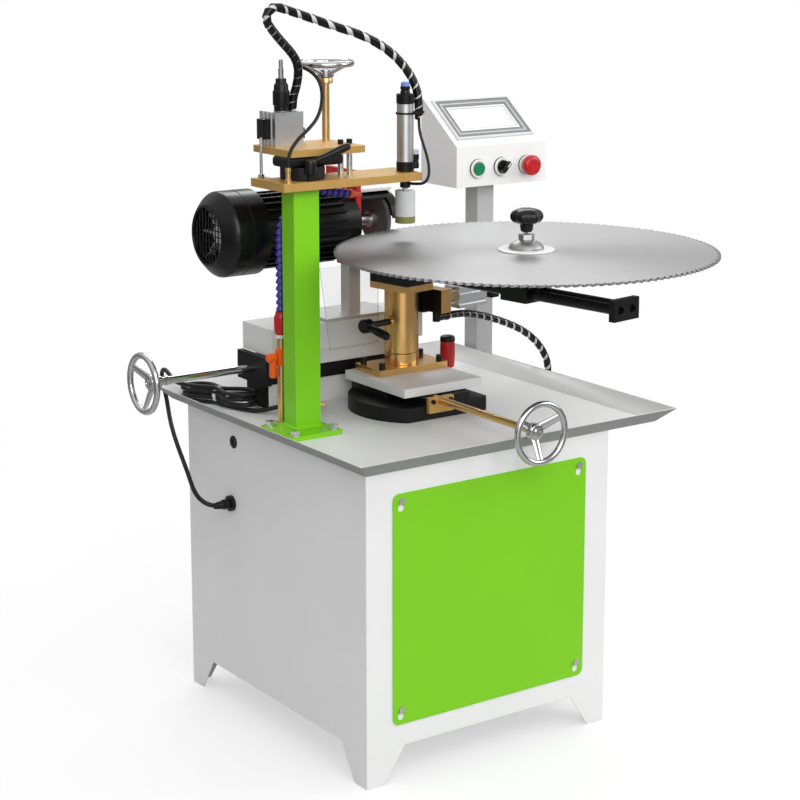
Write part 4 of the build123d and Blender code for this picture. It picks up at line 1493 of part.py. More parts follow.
def make_hoses():
    wrap_x = STROKE_X + WRAP_RIGHT
    wrap = [(wrap_x, STROKE_Y, STROKE_TOP), (wrap_x, STROKE_Y, STROKE_TOP + 19)]
    over = [
        (40, 71, 152), (41.5, 67.5, 176), (34, 64, 196), (19, 60.5, 212), (1, 56, 227), (-17, 52, 244),
        (-32.8, 49, 262.4), (-30.9, 46.5, 277.8), (-17.9, 44, 286.5), (9, 41, 278.5), (49, 35.5, 265),
        (90, 30, 251), (130, 25, 239), (164, 19, 224), (194, 14, 205), (217, 8, 182), (233, 1, 156),
        (240, -6, 126),
    ]
    wrap += [from_column(*point) for point in over]
    wrap_end = (COLUMN_X + 240, HOLD_Y, ARM_TOP + 92)
    wrap.append(wrap_end)
    tube = cord("wrap_hose", wrap, WRAP_DIAMETER)[1]
    root = Vector(*wrap[3]) * 0.5 + Vector(*wrap[4]) * 0.5
    out = Vector(0.5, -0.8, -0.33).normalized()
    spout = Plane(origin=root, z_dir=out) * Cylinder(BRANCH_RADIUS, BRANCH_LENGTH, align=BASE)
    nodes["wrap_hose"] = tube + spout

    port_x = SWIVEL_X - HOSE_PORT_LEFT
    port_y = SWIVEL_Y - HOSE_PORT_FRONT
    thin = [tuple(root + out * BRANCH_LENGTH), tuple(root + out * (BRANCH_LENGTH + 18))]
    swing = [(61, 27, 155), (54, 13, 127), (34, -4, 103), (9, -16, 87), (-18, -23, 72)]
    thin += [from_column(*point) for point in swing]
    thin += [(port_x, port_y, HOSE_PORT_TOP + 22), (port_x, port_y, HOSE_PORT_TOP)]
    nodes["thin_hose"] = cord("thin_hose", thin, THIN_DIAMETER)[1]

    collar_z = COLUMN_TOP - HOLD_COLLAR_HEIGHT / 2
    out = Vector(0.42, -0.91).normalized()
    collar = Vector(HOLD_X, HOLD_Y, collar_z) + out * HOLD_COLLAR_RADIUS
    drop = [wrap_end, (COLUMN_X + 240, HOLD_Y, ARM_TOP + 76)]
    bow = [(240.5, -11, 59), (241.5, -19.5, 42), (241.5, -29, 25), (239.5, -37.5, 8), (235, -43, -7.5),
           (228.5, -40.5, -18.5)]
    drop += [from_column(*point) for point in bow]
    drop += [tuple(collar + out * 15), tuple(collar)]
    nodes["drop_hose"] = cord("drop_hose", drop, DROP_DIAMETER)[1]

    gland = (RIGHT_WALL + GLAND_LENGTH, FEED_GLAND_BACK, CABINET_HEIGHT - FEED_GLAND_DROP)
    feed = list(hose_ends["feed"])
    lift = [(143, -9, 145), (177, -6.5, 137), (213, -3.5, 125), (248, 0, 111), (282, 4, 95)]
    feed += [(POST_X + x, POST_Y + y, TRAY_TOP + z) for x, y, z in lift]
    fall = [
        (147, 102, 75), (176, 108, 47), (194, 113, 14), (193, 117, -21), (172, 120, -49), (138, 123, -65),
        (101, 124.5, -71),
    ]
    feed += [(RIGHT_WALL + x, y, CABINET_HEIGHT + z) for x, y, z in fall]
    feed += [(gland[0] + 34, gland[1], gland[2]), gland]
    nodes["feed_hose"] = cord("feed_hose", feed, FEED_HOSE_DIAMETER)[1]
    cords["wrap_hose"] = wrap
    cords["thin_hose"] = thin
    cords["drop_hose"] = drop
    cords["feed_hose"] = feed


make_cabinet()
fasteners = make_panel()
make_tray()
make_column()
fasteners += column_bolts()
make_arm_plate()
make_stroke_unit()
make_stroke_cylinder()
make_depth_screw()
make_top_lever()
make_hold_down()
make_motor()
make_head_mount()
make_rear_slide()
fasteners += make_front_slide()
make_post()
make_sleeve()
make_blade_arm()
make_blade()
make_feed()
make_console()
make_coolant()
nodes["stand_screws"] = Compound(children=fasteners)

make_hoses()
make_power_cord()

# Everything is moved so that the machine stands on zero, with the middle of its box over it.
loose = ("power_cord", "power_hank", "power_plug", "wrap_hose", "thin_hose", "drop_hose", "feed_hose")
boxes = [shape.bounding_box() for name, shape in nodes.items() if name not in loose]
middle_x = (min(box.min.X for box in boxes) + max(box.max.X for box in boxes)) / 2
middle_y = (min(box.min.Y for box in boxes) + max(box.max.Y for box in boxes)) / 2
bottom = min(box.min.Z for box in boxes)
home = Pos(-middle_x, -middle_y, -bottom)
for name, shape in nodes.items():
    export_step(home * shape, "parts/" + name + ".step")
print(len(nodes), "nodes, moved by", round(-middle_x, 3), round(-middle_y, 3), round(-bottom, 3))
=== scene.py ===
# %% [markdown]
# # An automatic sharpener for circular saw blades
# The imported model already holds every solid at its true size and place, in metres with +Z up. This
# lesson gives those solids their finish, and stands a better-looking piece exactly where a solid is
# too plain. Nothing is moved: a piece that turns on the machine rides on the same moving body.

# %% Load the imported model
import json
import math
import bpy
from mathutils import Matrix, Vector


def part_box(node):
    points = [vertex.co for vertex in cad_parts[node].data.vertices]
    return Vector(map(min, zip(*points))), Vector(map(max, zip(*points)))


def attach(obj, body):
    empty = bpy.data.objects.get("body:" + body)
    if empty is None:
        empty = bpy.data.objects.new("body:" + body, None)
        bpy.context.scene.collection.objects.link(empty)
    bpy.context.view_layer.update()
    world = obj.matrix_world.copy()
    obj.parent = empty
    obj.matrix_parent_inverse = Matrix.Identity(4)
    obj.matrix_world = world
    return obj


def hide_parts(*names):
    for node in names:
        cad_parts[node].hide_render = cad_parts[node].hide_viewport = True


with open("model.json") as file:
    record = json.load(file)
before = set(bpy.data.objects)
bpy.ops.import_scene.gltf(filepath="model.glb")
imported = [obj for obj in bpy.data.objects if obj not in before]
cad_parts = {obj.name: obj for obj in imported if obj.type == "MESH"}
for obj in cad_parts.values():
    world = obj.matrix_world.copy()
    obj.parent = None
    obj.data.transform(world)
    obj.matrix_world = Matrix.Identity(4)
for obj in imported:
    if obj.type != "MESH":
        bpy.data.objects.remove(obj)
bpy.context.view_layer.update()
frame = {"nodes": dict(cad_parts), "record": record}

# %% [markdown]
# ## One datum for all the sizes
# A machine drawing measures everything in millimetres from one datum. Ours is the floor under the
# middle of the cabinet. It is read from the frame, so that no place here has to be guessed.

# %% Millimetres from the middle of the cabinet
MM = 0.001


def middle_of(node):
    low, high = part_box(node)
    return (low + high) / 2


datum = Vector((middle_of("front_panel").x, middle_of("cabinet_sides").y, 0))


def at(x, y, z):
    """A point in the frame's metres from millimetres off the datum."""
    return datum + Vector((x, y, z)) * MM


def drawn(point):
    """The other way round: a point of the frame as millimetres off the datum."""
    return (Vector(point) - datum) / MM


body_of_node = {}
for body, members in frame["record"]["behaviour"]["bodies"].items():
    for member in members:
        body_of_node[member] = body
print("datum", [round(value, 4) for value in datum])

# %% [markdown]
# ## The camera
# The photograph looks down on the machine from the front left. Its upright edges hardly lean, which
# a lens does when it is aimed level and its picture is then moved down. A small shift does the same.

# %% Camera
CAMERA_AT = (-1932.6, -2780.2, 1399.3)
CAMERA_TURN = math.radians(35.02)
CAMERA_DOWN = math.radians(11.38)
LENS, SENSOR, PICTURE_SHIFT = 88.96, 36, -0.109

camera_data = bpy.data.cameras.new("camera")
camera = bpy.data.objects.new("camera", camera_data)
bpy.context.scene.collection.objects.link(camera)
camera.location = at(*CAMERA_AT)
level = math.cos(CAMERA_DOWN)
sight = Vector((math.sin(CAMERA_TURN) * level, math.cos(CAMERA_TURN) * level, -math.sin(CAMERA_DOWN)))
camera.rotation_euler = sight.to_track_quat("-Z", "Y").to_euler()
camera_data.sensor_width = SENSOR
camera_data.lens = LENS
camera_data.shift_y = PICTURE_SHIFT
bpy.context.scene.camera = camera
print("camera at", [round(value, 3) for value in camera.location])

# %% [markdown]
# ## Writing a finish as a sum
# A finish is a graph of nodes, and a graph is hard to read as code. This class wraps one socket, so
# that `1 - mask * 0.3` adds the Math nodes by itself. Its method `make` adds any other node.

# %% A socket that can be added and multiplied
class Shade:
    def __init__(self, tree, socket):
        self.tree = tree
        self.socket = socket

    def make(self, kind, settings=None, sockets=None, out=0):
        node = self.tree.nodes.new(kind)
        for name, value in (settings or {}).items():
            setattr(node, name, value)
        for name, value in (sockets or {}).items():
            if isinstance(value, Shade):
                self.tree.links.new(value.socket, node.inputs[name])
            else:
                node.inputs[name].default_value = value
        return Shade(self.tree, node.outputs[out])

    def reckon(self, operation, first, second):
        return self.make("ShaderNodeMath", {"operation": operation}, {0: first, 1: second})

    def __add__(self, other):
        return self.reckon("ADD", self, other)

    def __radd__(self, other):
        return self.reckon("ADD", other, self)

    def __sub__(self, other):
        return self.reckon("SUBTRACT", self, other)

    def __rsub__(self, other):
        return self.reckon("SUBTRACT", other, self)

    def __mul__(self, other):
        return self.reckon("MULTIPLY", self, other)

    def __rmul__(self, other):
        return self.reckon("MULTIPLY", other, self)


# %% Patterns that the finishes share
def noise(place, size, detail):
    """Cloudy values about 0.5, with lumps of about size millimetres."""
    sockets = {"Vector": place, "Scale": 1 / (size * MM), "Detail": detail}
    return place.make("ShaderNodeTexNoise", None, sockets)


def stretched(place, scale):
    return place.make("ShaderNodeMapping", None, {"Vector": place, "Scale": scale})


def moved(place, centre):
    return place.make("ShaderNodeMapping", None, {"Vector": place, "Location": -Vector(centre)})


def from_axis(place):
    """How far a place is from the upright axis through zero, in metres."""
    flat = stretched(place, (1.0, 1.0, 0.0))
    return flat.make("ShaderNodeVectorMath", {"operation": "LENGTH"}, {0: flat}, out=1)


def ramp(value, low, high):
    """0 below low, 1 above high, and a straight rise between them."""
    return value.make("ShaderNodeMapRange", None, {"Value": value, "From Min": low, "From Max": high})


def tint(amount, low, high):
    """One colour turning into another; a colour is three numbers or a socket."""
    ends = [end if isinstance(end, Shade) else (*end, 1.0) for end in (low, high)]
    return amount.make("ShaderNodeMix", {"data_type": "RGBA"}, {0: amount, 6: ends[0], 7: ends[1]}, out=2)


def bumps(height, depth):
    """A normal from a height that spans depth millimetres."""
    return height.make("ShaderNodeBump", None, {"Strength": 1.0, "Distance": depth * MM, "Height": height})


finishes = []


def start_finish(name):
    material = bpy.data.materials.new(name)
    finishes.append(name)
    material.use_nodes = True
    tree = material.node_tree
    shader = tree.nodes["Principled BSDF"]
    place = Shade(tree, tree.nodes.new("ShaderNodeTexCoord").outputs["Object"])
    return material, shader, place


def fill(shader, **values):
    """Sets or links the shader's sockets; base_color means the socket Base Color."""
    for name, value in values.items():
        socket = shader.inputs[name.replace("_", " ").title().replace("Ior", "IOR")]
        if isinstance(value, Shade):
            value.tree.links.new(value.socket, socket)
        else:
            socket.default_value = value


def shaded(colour, share):
    return tuple(min(1.0, part * share) for part in colour)


print("pattern helpers ready")

# %% [markdown]
# ## Paint
# Powder coat is sprayed as dry grains and melted in an oven, so it flows into a fine orange peel.
# Three noises give that: a fine one bends the light, a slow one lets the colour drift a little, and
# one between them makes the gloss uneven, as wiping hands do.

# %% Painted finishes
def painted(name, colour, rough, peel=0.035, coat=0.0, shine=0.5):
    material, shader, place = start_finish(name)
    drift = noise(place, 160, 3)
    grain = noise(place, 2.2, 1)
    smudge = noise(place, 45, 5)
    base = tint(drift, shaded(colour, 0.94), shaded(colour, 1.05))
    fill(shader, base_color=base, roughness=rough - 0.06 + smudge * 0.14, coat_weight=coat,
         coat_roughness=0.12, specular_ior_level=shine, normal=bumps(grain, peel))
    return material


white_paint = painted("white powder coat", (0.80, 0.805, 0.80), rough=0.40)
green_paint = painted("lime green paint", (0.20, 0.58, 0.010), rough=0.34, coat=0.08, shine=0.3)
red_paint = painted("red paint", (0.62, 0.010, 0.010), rough=0.34, coat=0.1)
motor_black = painted("glossy black paint", (0.003, 0.003, 0.0032), rough=0.24, peel=0.04, shine=0.28)
post_paint = painted("grey powder coat", (0.47, 0.475, 0.475), rough=0.38)
# Painted shade: this darker grey goes on the downward faces of the tray rim, for the shade under it.
painted_rim_shade = painted("grey painted rim shade", (0.30, 0.302, 0.302), rough=0.5)
console_paint = painted("console powder coat", (0.86, 0.86, 0.855), rough=0.40)
print("paints", finishes)

# %% [markdown]
# ## Metal
# Plates are milled and ground, so their scratches run one way. Rods and flanges are turned, so
# theirs run round. Both are noise: one is stretched along an axis, the other reads only the radius.

# %% Ground, plated and polished metal
def ground(name, colour, lines, rough=0.34, metallic=1.0):
    """Ground metal; lines is how tightly the scratches are packed along x, y and z."""
    material, shader, place = start_finish(name)
    scratch = noise(stretched(place, lines), 1.6, 3)
    patch = noise(place, 60, 4)
    base = tint(scratch * 0.6 + patch * 0.4, shaded(colour, 0.84), shaded(colour, 1.12))
    fill(shader, base_color=base, metallic=metallic, roughness=rough - 0.08 + scratch * 0.18,
         normal=bumps(scratch, 0.02))
    return material


def plated(name, colour, other, rough, metallic=1.0):
    """Plating whose colour wanders between two tones, as a zinc bath leaves it."""
    material, shader, place = start_finish(name)
    wander = ramp(noise(place, 46, 3), 0.3, 0.7)
    cloud = noise(place, 12, 4)
    haze = noise(place, 0.9, 2)
    fill(shader, base_color=tint(wander * 0.7 + cloud * 0.3, colour, other), metallic=metallic,
         roughness=rough - 0.06 + cloud * 0.14, normal=bumps(haze, 0.005))
    return material


def bright(name, colour, rough):
    """Polished or chromed metal with the faint smears of handling."""
    material, shader, place = start_finish(name)
    smear = noise(place, 30, 4)
    pits = noise(place, 1.1, 2)
    fill(shader, base_color=tint(smear, shaded(colour, 0.9), shaded(colour, 1.05)), metallic=1.0,
         roughness=rough - 0.03 + ramp(smear, 0.35, 0.8) * 0.10, normal=bumps(pits, 0.003))
    return material


# %% Turned metal
def ring_noise(radius, scale, detail):
    """Noise that changes with a radius alone."""
    sockets = {"W": radius, "Scale": scale, "Detail": detail}
    return radius.make("ShaderNodeTexNoise", {"noise_dimensions": "1D"}, sockets)


def turned_face(name, colour, centre, rough):
    """A face turned on a lathe: its rings depend on the distance from the centre alone."""
    material, shader, place = start_finish(name)
    radius = from_axis(moved(place, centre))
    rings, bands = ring_noise(radius, 900.0, 3.0), ring_noise(radius, 70.0, 2.0)
    stain = noise(place, 80, 4)
    base = tint(rings * 0.4 + bands * 0.35 + stain * 0.25, shaded(colour, 0.82), shaded(colour, 1.12))
    fill(shader, base_color=base, metallic=1.0, roughness=rough - 0.06 + rings * 0.12,
         anisotropic=0.4, anisotropic_rotation=0.25, normal=bumps(rings, 0.012))
    return material


silver = ground("ground steel", (0.60, 0.60, 0.59), (0.12, 1.0, 1.0))
pale_plate = ground("pale ground plate", (0.80, 0.80, 0.80), (0.1, 1.0, 1.0), rough=0.5, metallic=0.2)
dark_steel = ground("blackened steel", (0.010, 0.010, 0.011), (1.0, 0.12, 1.0), rough=0.36, metallic=0.5)
aluminium = ground("satin aluminium", (0.70, 0.71, 0.72), (1.0, 1.0, 0.15), rough=0.34)
gold = plated("yellow zinc plating", (0.52, 0.30, 0.078), (0.60, 0.365, 0.11), rough=0.38, metallic=0.35)
brass = plated("polished bronze", (0.76, 0.44, 0.15), (0.82, 0.50, 0.19), rough=0.22, metallic=0.88)
rod_brass = bright("turned brass rod", (0.78, 0.50, 0.22), rough=0.30)
zinc = plated("bright zinc plating", (0.60, 0.61, 0.62), (0.68, 0.67, 0.65), rough=0.26)
chrome = bright("polished chrome", (0.56, 0.56, 0.57), rough=0.10)
satin = bright("satin steel", (0.66, 0.67, 0.67), rough=0.34)
dull_steel = bright("dull steel washer", (0.36, 0.36, 0.36), rough=0.42)
blade_centre = middle_of("blade")
blade_steel = turned_face("blade steel", (0.36, 0.36, 0.365), blade_centre, rough=0.42)
flange_steel = turned_face("turned flange", (0.60, 0.60, 0.60), blade_centre, rough=0.34)
print("paints and metals", len(finishes))

# %% [markdown]
# ## Castings, plastic, rubber, grit and clear sheet
# A sand casting stays rough under its paint, moulded plastic has a fine spark texture, and rubber is
# dull and a little dusty. The splash sheet is clear acrylic, of which only the sawn edges are plain
# to see, so its faces are nearly all transparent.

# %% Other finishes
def cast(name, colour):
    material, shader, place = start_finish(name)
    lumps = noise(place, 5, 4)
    grain = noise(place, 1.3, 2)
    base = tint(lumps, shaded(colour, 0.75), shaded(colour, 1.3))
    fill(shader, base_color=base, specular_ior_level=0.25, roughness=0.4 + grain * 0.2,
         normal=bumps(lumps * 0.7 + grain * 0.3, 0.2))
    return material


def moulded(name, colour, rough, depth=0.02, shine=0.5):
    material, shader, place = start_finish(name)
    spark = noise(place, 0.8, 2)
    drift = noise(place, 30, 3)
    base = tint(drift, shaded(colour, 0.9), shaded(colour, 1.08))
    fill(shader, base_color=base, specular_ior_level=shine, roughness=rough - 0.06 + drift * 0.12,
         normal=bumps(spark, depth))
    return material


def gritty(name, colour):
    material, shader, place = start_finish(name)
    grains = place.make("ShaderNodeTexVoronoi", None, {"Vector": place, "Scale": 1400.0}, out=0)
    tone = noise(place, 0.9, 1)
    fill(shader, base_color=tint(tone, shaded(colour, 0.6), shaded(colour, 1.5)), roughness=0.85,
         normal=bumps(grains, 0.25))
    return material


def clear_sheet(name, colour, body):
    """Clear plastic: body is how much of it the eye sees, and a faint mist adds to that."""
    material, shader, place = start_finish(name)
    mist = noise(place, 70, 5)
    fill(shader, base_color=(*colour, 1.0), roughness=0.06 + ramp(mist, 0.5, 0.8) * 0.1,
         alpha=body + ramp(mist, 0.45, 0.8) * 0.06)
    return material


cast_black = cast("black casting", (0.005, 0.005, 0.0053))
black_plastic = moulded("black moulding", (0.005, 0.005, 0.0053), rough=0.28, shine=0.28)
red_plastic = moulded("red moulding", (0.50, 0.008, 0.012), rough=0.26)
blue_plastic = moulded("violet-blue moulding", (0.055, 0.035, 0.36), rough=0.26)
sky_plastic = moulded("sky blue ring", (0.16, 0.30, 0.70), rough=0.3)
lilac_plastic = moulded("lilac ring", (0.55, 0.52, 0.78), rough=0.3)
orange_plastic = moulded("orange moulding", (0.86, 0.115, 0.008), rough=0.32)
green_plastic = moulded("green button moulding", (0.012, 0.21, 0.075), rough=0.25)
olive_rubber = moulded("olive rubber", (0.19, 0.20, 0.055), rough=0.5)
pad_nylon = moulded("pale nylon", (0.56, 0.57, 0.57), rough=0.42)
white_plastic = moulded("white moulding", (0.78, 0.78, 0.77), rough=0.32)
pale_plastic = moulded("pale grey moulding", (0.66, 0.665, 0.67), rough=0.35)
grey_plastic = moulded("grey moulding", (0.22, 0.225, 0.23), rough=0.38)
line_plastic = moulded("dark grey line", (0.06, 0.06, 0.062), rough=0.4)
display_glass = moulded("pale display", (0.82, 0.82, 0.83), rough=0.16, depth=0.002)
rubber = moulded("hose rubber", (0.006, 0.006, 0.0063), rough=0.4, depth=0.04, shine=0.3)
wrap_plastic = moulded("spiral wrap", (0.004, 0.004, 0.0043), rough=0.24, shine=0.3)
inner_hose = moulded("pale inner hose", (0.66, 0.67, 0.68), rough=0.3)
grit = gritty("bonded grit", (0.10, 0.10, 0.105))
acrylic = clear_sheet("clear acrylic", (0.86, 0.88, 0.89), 0.10)
acrylic_edge = clear_sheet("sawn acrylic edge", (0.52, 0.55, 0.56), 0.72)
print("all finishes", len(finishes))

# %% [markdown]
# ## Floor and light
# The photograph has a white ground and even light from large soft lamps, most of it from the front.
# The floor is white near the machine, where it takes the shadow, and fades out to a white world.
# Less light comes from below than from above, so that undersides stay dark.
# Polished metal meets a world that is bright overhead and dim at eye level, as a dark room with a
# light ceiling is, because chrome shows only what stands round it. A tall soft lamp beside the camera
# draws the bright stripe down the turned post.

# %% Floor and world
FLOOR_SIDE, FADES_FROM, FADED_AT = 9, 0.9, 2.6
TALL_LAMP_WAY = (-0.45, -0.89, 0.0)


def make_floor():
    bpy.ops.object.select_all(action="DESELECT")
    bpy.ops.mesh.primitive_plane_add(size=FLOOR_SIDE, location=(0, 0, 0))
    floor = bpy.context.object
    floor.name = "studio_floor"
    material, shader, place = start_finish("studio floor")
    fill(shader, base_color=(0.90, 0.90, 0.90, 1.0), roughness=0.8)
    fade = 0.55 + ramp(from_axis(place), FADES_FROM, FADED_AT) * 0.45
    clear = place.make("ShaderNodeBsdfTransparent")
    solid = Shade(place.tree, shader.outputs["BSDF"])
    mixed = place.make("ShaderNodeMixShader", None, {0: fade, 1: solid, 2: clear})
    place.tree.links.new(mixed.socket, place.tree.nodes["Material Output"].inputs["Surface"])
    floor.data.materials.append(material)


def light_world():
    world = bpy.data.worlds.new("studio")
    bpy.context.scene.world = world
    world.use_nodes = True
    tree = world.node_tree
    rays = tree.nodes.new("ShaderNodeLightPath")
    seen = Shade(tree, rays.outputs["Is Camera Ray"])
    mirrored = Shade(tree, rays.outputs["Is Glossy Ray"])
    through = Shade(tree, rays.outputs["Is Transmission Ray"])
    way = Shade(tree, tree.nodes.new("ShaderNodeTexCoord").outputs["Generated"])
    height = way.make("ShaderNodeSeparateXYZ", None, {0: way}, out=2)
    ceiling = 0.26 + ramp(height, 0.05, 0.62) * 0.62
    sockets = {0: way, 1: TALL_LAMP_WAY}
    facing = way.make("ShaderNodeVectorMath", {"operation": "DOT_PRODUCT"}, sockets, out=1)
    tall_lamp = ramp(facing, 0.90, 0.97) * 0.8
    plain = ramp(seen + through, 0.0, 1.0)
    room = 0.16 + ramp(height, -0.15, 0.3) * 0.48 + ramp(height, 0.45, 0.95) * 0.24
    lit = room * (1 - plain) + plain
    background = tree.nodes["Background"]
    background.inputs["Color"].default_value = (1.0, 1.0, 1.0, 1.0)
    strength = lit * (1 - mirrored) + (ceiling + tall_lamp) * mirrored
    tree.links.new(strength.socket, background.inputs["Strength"])


make_floor()
light_world()
print("floor and world ready")

# %% Lamps
def add_lamp(name, place, aim, size, power):
    lamp = bpy.data.lights.new(name, "AREA")
    lamp.shape = "RECTANGLE"
    lamp.size, lamp.size_y = size
    lamp.energy = power
    holder = bpy.data.objects.new(name, lamp)
    bpy.context.scene.collection.objects.link(holder)
    holder.location = place
    holder.rotation_euler = (Vector(aim) - Vector(place)).to_track_quat("-Z", "Y").to_euler()


add_lamp("front lamp", (-1.1, -3.2, 2.5), (0, 0, 0.6), (3.8, 2.6), 92)
add_lamp("right lamp", (2.8, -1.6, 2.2), (0, 0, 0.7), (2.4, 2.4), 48)
add_lamp("back lamp", (1.5, 2.3, 2.9), (0, 0, 0.8), (2.4, 1.0), 34)
bpy.context.scene.view_settings.view_transform = "Standard"

# %% [markdown]
# ## Hand tools
# Every new piece starts from a primitive, as it would by hand: a cube for what is sawn from a bar, a
# filled circle for what is turned. The circle is extruded ring by ring and each ring is scaled to
# its radius, which is what a lathe profile is. A hollow ring is an outline that is spun round.

# %% Taking up and setting down a piece
DOUBLES_WITHIN = 0.002 * MM


def clear_bench():
    if bpy.context.object and bpy.context.object.mode != "OBJECT":
        bpy.ops.object.mode_set(mode="OBJECT")
    bpy.ops.object.select_all(action="DESELECT")


def take(obj):
    clear_bench()
    obj.select_set(True)
    bpy.context.view_layer.objects.active = obj


def on_bench(obj):
    bpy.context.scene.collection.objects.link(obj)
    take(obj)
    return obj


def edit():
    bpy.ops.object.mode_set(mode="EDIT")


def edit_all():
    edit()
    bpy.ops.mesh.select_all(action="SELECT")


def done_editing():
    bpy.ops.object.mode_set(mode="OBJECT")


def merge_doubles():
    bpy.ops.mesh.select_all(action="SELECT")
    bpy.ops.mesh.remove_doubles(threshold=DOUBLES_WITHIN)


def face_outward():
    """Turns all the faces of the piece outward and ends the editing."""
    bpy.ops.mesh.select_all(action="SELECT")
    bpy.ops.mesh.normals_make_consistent(inside=False)
    done_editing()


def extrude_up(height):
    bpy.ops.mesh.extrude_region_move(TRANSFORM_OT_translate={"value": (0, 0, height * MM)})


def set_in_mesh():
    """Moves a piece's place, turn and scale into its mesh."""
    bpy.ops.object.transform_apply(location=True, rotation=True, scale=True)


def dress(obj, finish):
    obj.data.materials.clear()
    obj.data.materials.append(finish)
    return obj


def settle(obj, base, axis=(0, 0, 1), lean=None):
    """Stands a piece made about the world's Z on its base, along its axis."""
    place = base if isinstance(base, Vector) else at(*base)
    lean = lean or Vector(axis).to_track_quat("Z", "Y").to_matrix()
    obj.matrix_world = Matrix.Translation(place) @ lean.to_4x4()
    take(obj)
    set_in_mesh()
    return obj


def apply_modifier(obj, kind, **settings):
    modifier = obj.modifiers.new(kind.lower(), kind)
    for name, value in settings.items():
        setattr(modifier, name, value)
    take(obj)
    bpy.ops.object.modifier_apply(modifier=modifier.name)
    return obj


def soften(obj, width, angle=40, rings=2):
    """Breaks the sharp edges, as a file or a tumbling drum does."""
    return apply_modifier(obj, "BEVEL", width=width * MM, segments=rings, limit_method="ANGLE",
                          angle_limit=math.radians(angle))


print("bench ready")

# %% Sawing, turning and spinning
def block(finish, x, y, z, soft, rings=2):
    """A bar cut to its limits along x, y and z, with its edges broken."""
    clear_bench()
    bpy.ops.mesh.primitive_cube_add(size=MM, location=at(*((a + b) / 2 for a, b in (x, y, z))))
    obj = bpy.context.object
    obj.scale = [b - a for a, b in (x, y, z)]
    set_in_mesh()
    edit_all()
    bpy.ops.mesh.bevel(offset=soft * MM, segments=rings, affect="EDGES")
    done_editing()
    return dress(obj, finish)


def turned(finish, profile, base=None, axis=(0, 0, 1), sides=48):
    """A lathe piece from (radius, height) pairs, measured along its axis from its base."""
    clear_bench()
    bpy.ops.mesh.primitive_circle_add(vertices=sides, radius=profile[0][0] * MM, fill_type="NGON")
    obj = bpy.context.object
    edit_all()
    bpy.ops.transform.translate(value=(0, 0, profile[0][1] * MM))
    for (low_r, low_z), (high_r, high_z) in zip(profile, profile[1:]):
        extrude_up(high_z - low_z)
        share = high_r / low_r
        bpy.ops.transform.resize(value=(share, share, 1), center_override=(0, 0, high_z * MM))
    face_outward()
    dress(obj, finish)
    return obj if base is None else settle(obj, base, axis)


def hoop(finish, outline, base=None, axis=(0, 0, 1), sides=64):
    """A ring whose closed outline of (radius, height) pairs is spun round its axis."""
    clear_bench()
    bpy.ops.mesh.primitive_circle_add(vertices=len(outline), radius=MM)
    obj = bpy.context.object
    for vertex, (radius, height) in zip(obj.data.vertices, outline):
        vertex.co = (radius * MM, 0, height * MM)
    edit_all()
    bpy.ops.mesh.spin(steps=sides, angle=2 * math.pi, center=(0, 0, 0), axis=(0, 0, 1))
    merge_doubles()
    face_outward()
    dress(obj, finish)
    return obj if base is None else settle(obj, base, axis)


def grip(finish, start, end, radii):
    """A handle from start to end, whose radius changes evenly through the list of radii."""
    line = Vector(end) - Vector(start)
    last = len(radii) - 1
    profile = [(radius, line.length * i / last) for i, radius in enumerate(radii)]
    tip = radii[-1]
    dome = [(tip * math.cos(a), line.length + tip * math.sin(a)) for a in (0.35, 0.7, 1.05, 1.35)]
    return turned(finish, profile + dome, start, line, 32)


print("saw, lathe and spinning wheel ready")

# %% Joining, painting by place and handing over
FLAT_WITHIN, SMOOTH_UP_TO = math.radians(0.4), math.radians(38)


def join(*pieces):
    clear_bench()
    for piece in pieces:
        piece.select_set(True)
    bpy.context.view_layer.objects.active = pieces[0]
    if len(pieces) > 1:
        bpy.ops.object.join()
    return pieces[0]


def repaint(obj, finish, inside=lambda x, y, z: True, looks=lambda way: True):
    """A second finish, on the faces whose middle (in drawn millimetres) and normal pass the tests."""
    obj.data.materials.append(finish)
    number = len(obj.data.materials) - 1
    for face in obj.data.polygons:
        if inside(*drawn(face.center)) and looks(face.normal):
            face.material_index = number
    return obj


def cut(obj, place, way, drop=True):
    """Saws through a piece; what lies the way of the cut drops off unless it is kept."""
    take(obj)
    edit_all()
    bpy.ops.mesh.bisect(plane_co=at(*place), plane_no=way, use_fill=drop, clear_outer=drop)
    done_editing()
    return obj


def cut_off_above(obj, z):
    return cut(obj, (0, 0, z), (0, 0, 1))


def even_out(obj):
    """Lets the large flat faces rule the shading, so that a wide sheet shows no creases."""
    take(obj)
    bpy.ops.object.shade_smooth_by_angle(angle=SMOOTH_UP_TO)
    return apply_modifier(obj, "WEIGHTED_NORMAL", keep_sharp=True)


def hand_over(obj, name, *nodes, body=None, slot=None):
    """Names a piece, seats it on its body and lets it stand for the solids named."""
    obj.name = name
    obj.data.name = name
    even_out(obj)
    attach(obj, body or body_of_node[nodes[0]])
    if nodes:
        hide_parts(*nodes)
    return obj


def machined(node, finish, soft, whole=True):
    """A copy of a solid, merged, with its flat faces made whole and its edges broken."""
    obj = on_bench(bpy.data.objects.new(node + "_copy", frame["nodes"][node].data.copy()))
    edit()
    merge_doubles()
    if whole:
        bpy.ops.mesh.dissolve_limited(angle_limit=FLAT_WITHIN)
    done_editing()
    if soft:
        soften(obj, soft)
    return dress(obj, finish)


def copy_over(node, name, finish, soft, *others):
    """A solid that is right as it is: its copy gets a finish, broken edges and other finishes by place."""
    obj = machined(node, finish, soft)
    for other, inside in others:
        repaint(obj, other, inside)
    return hand_over(obj, name, node)


print("hand tools ready")
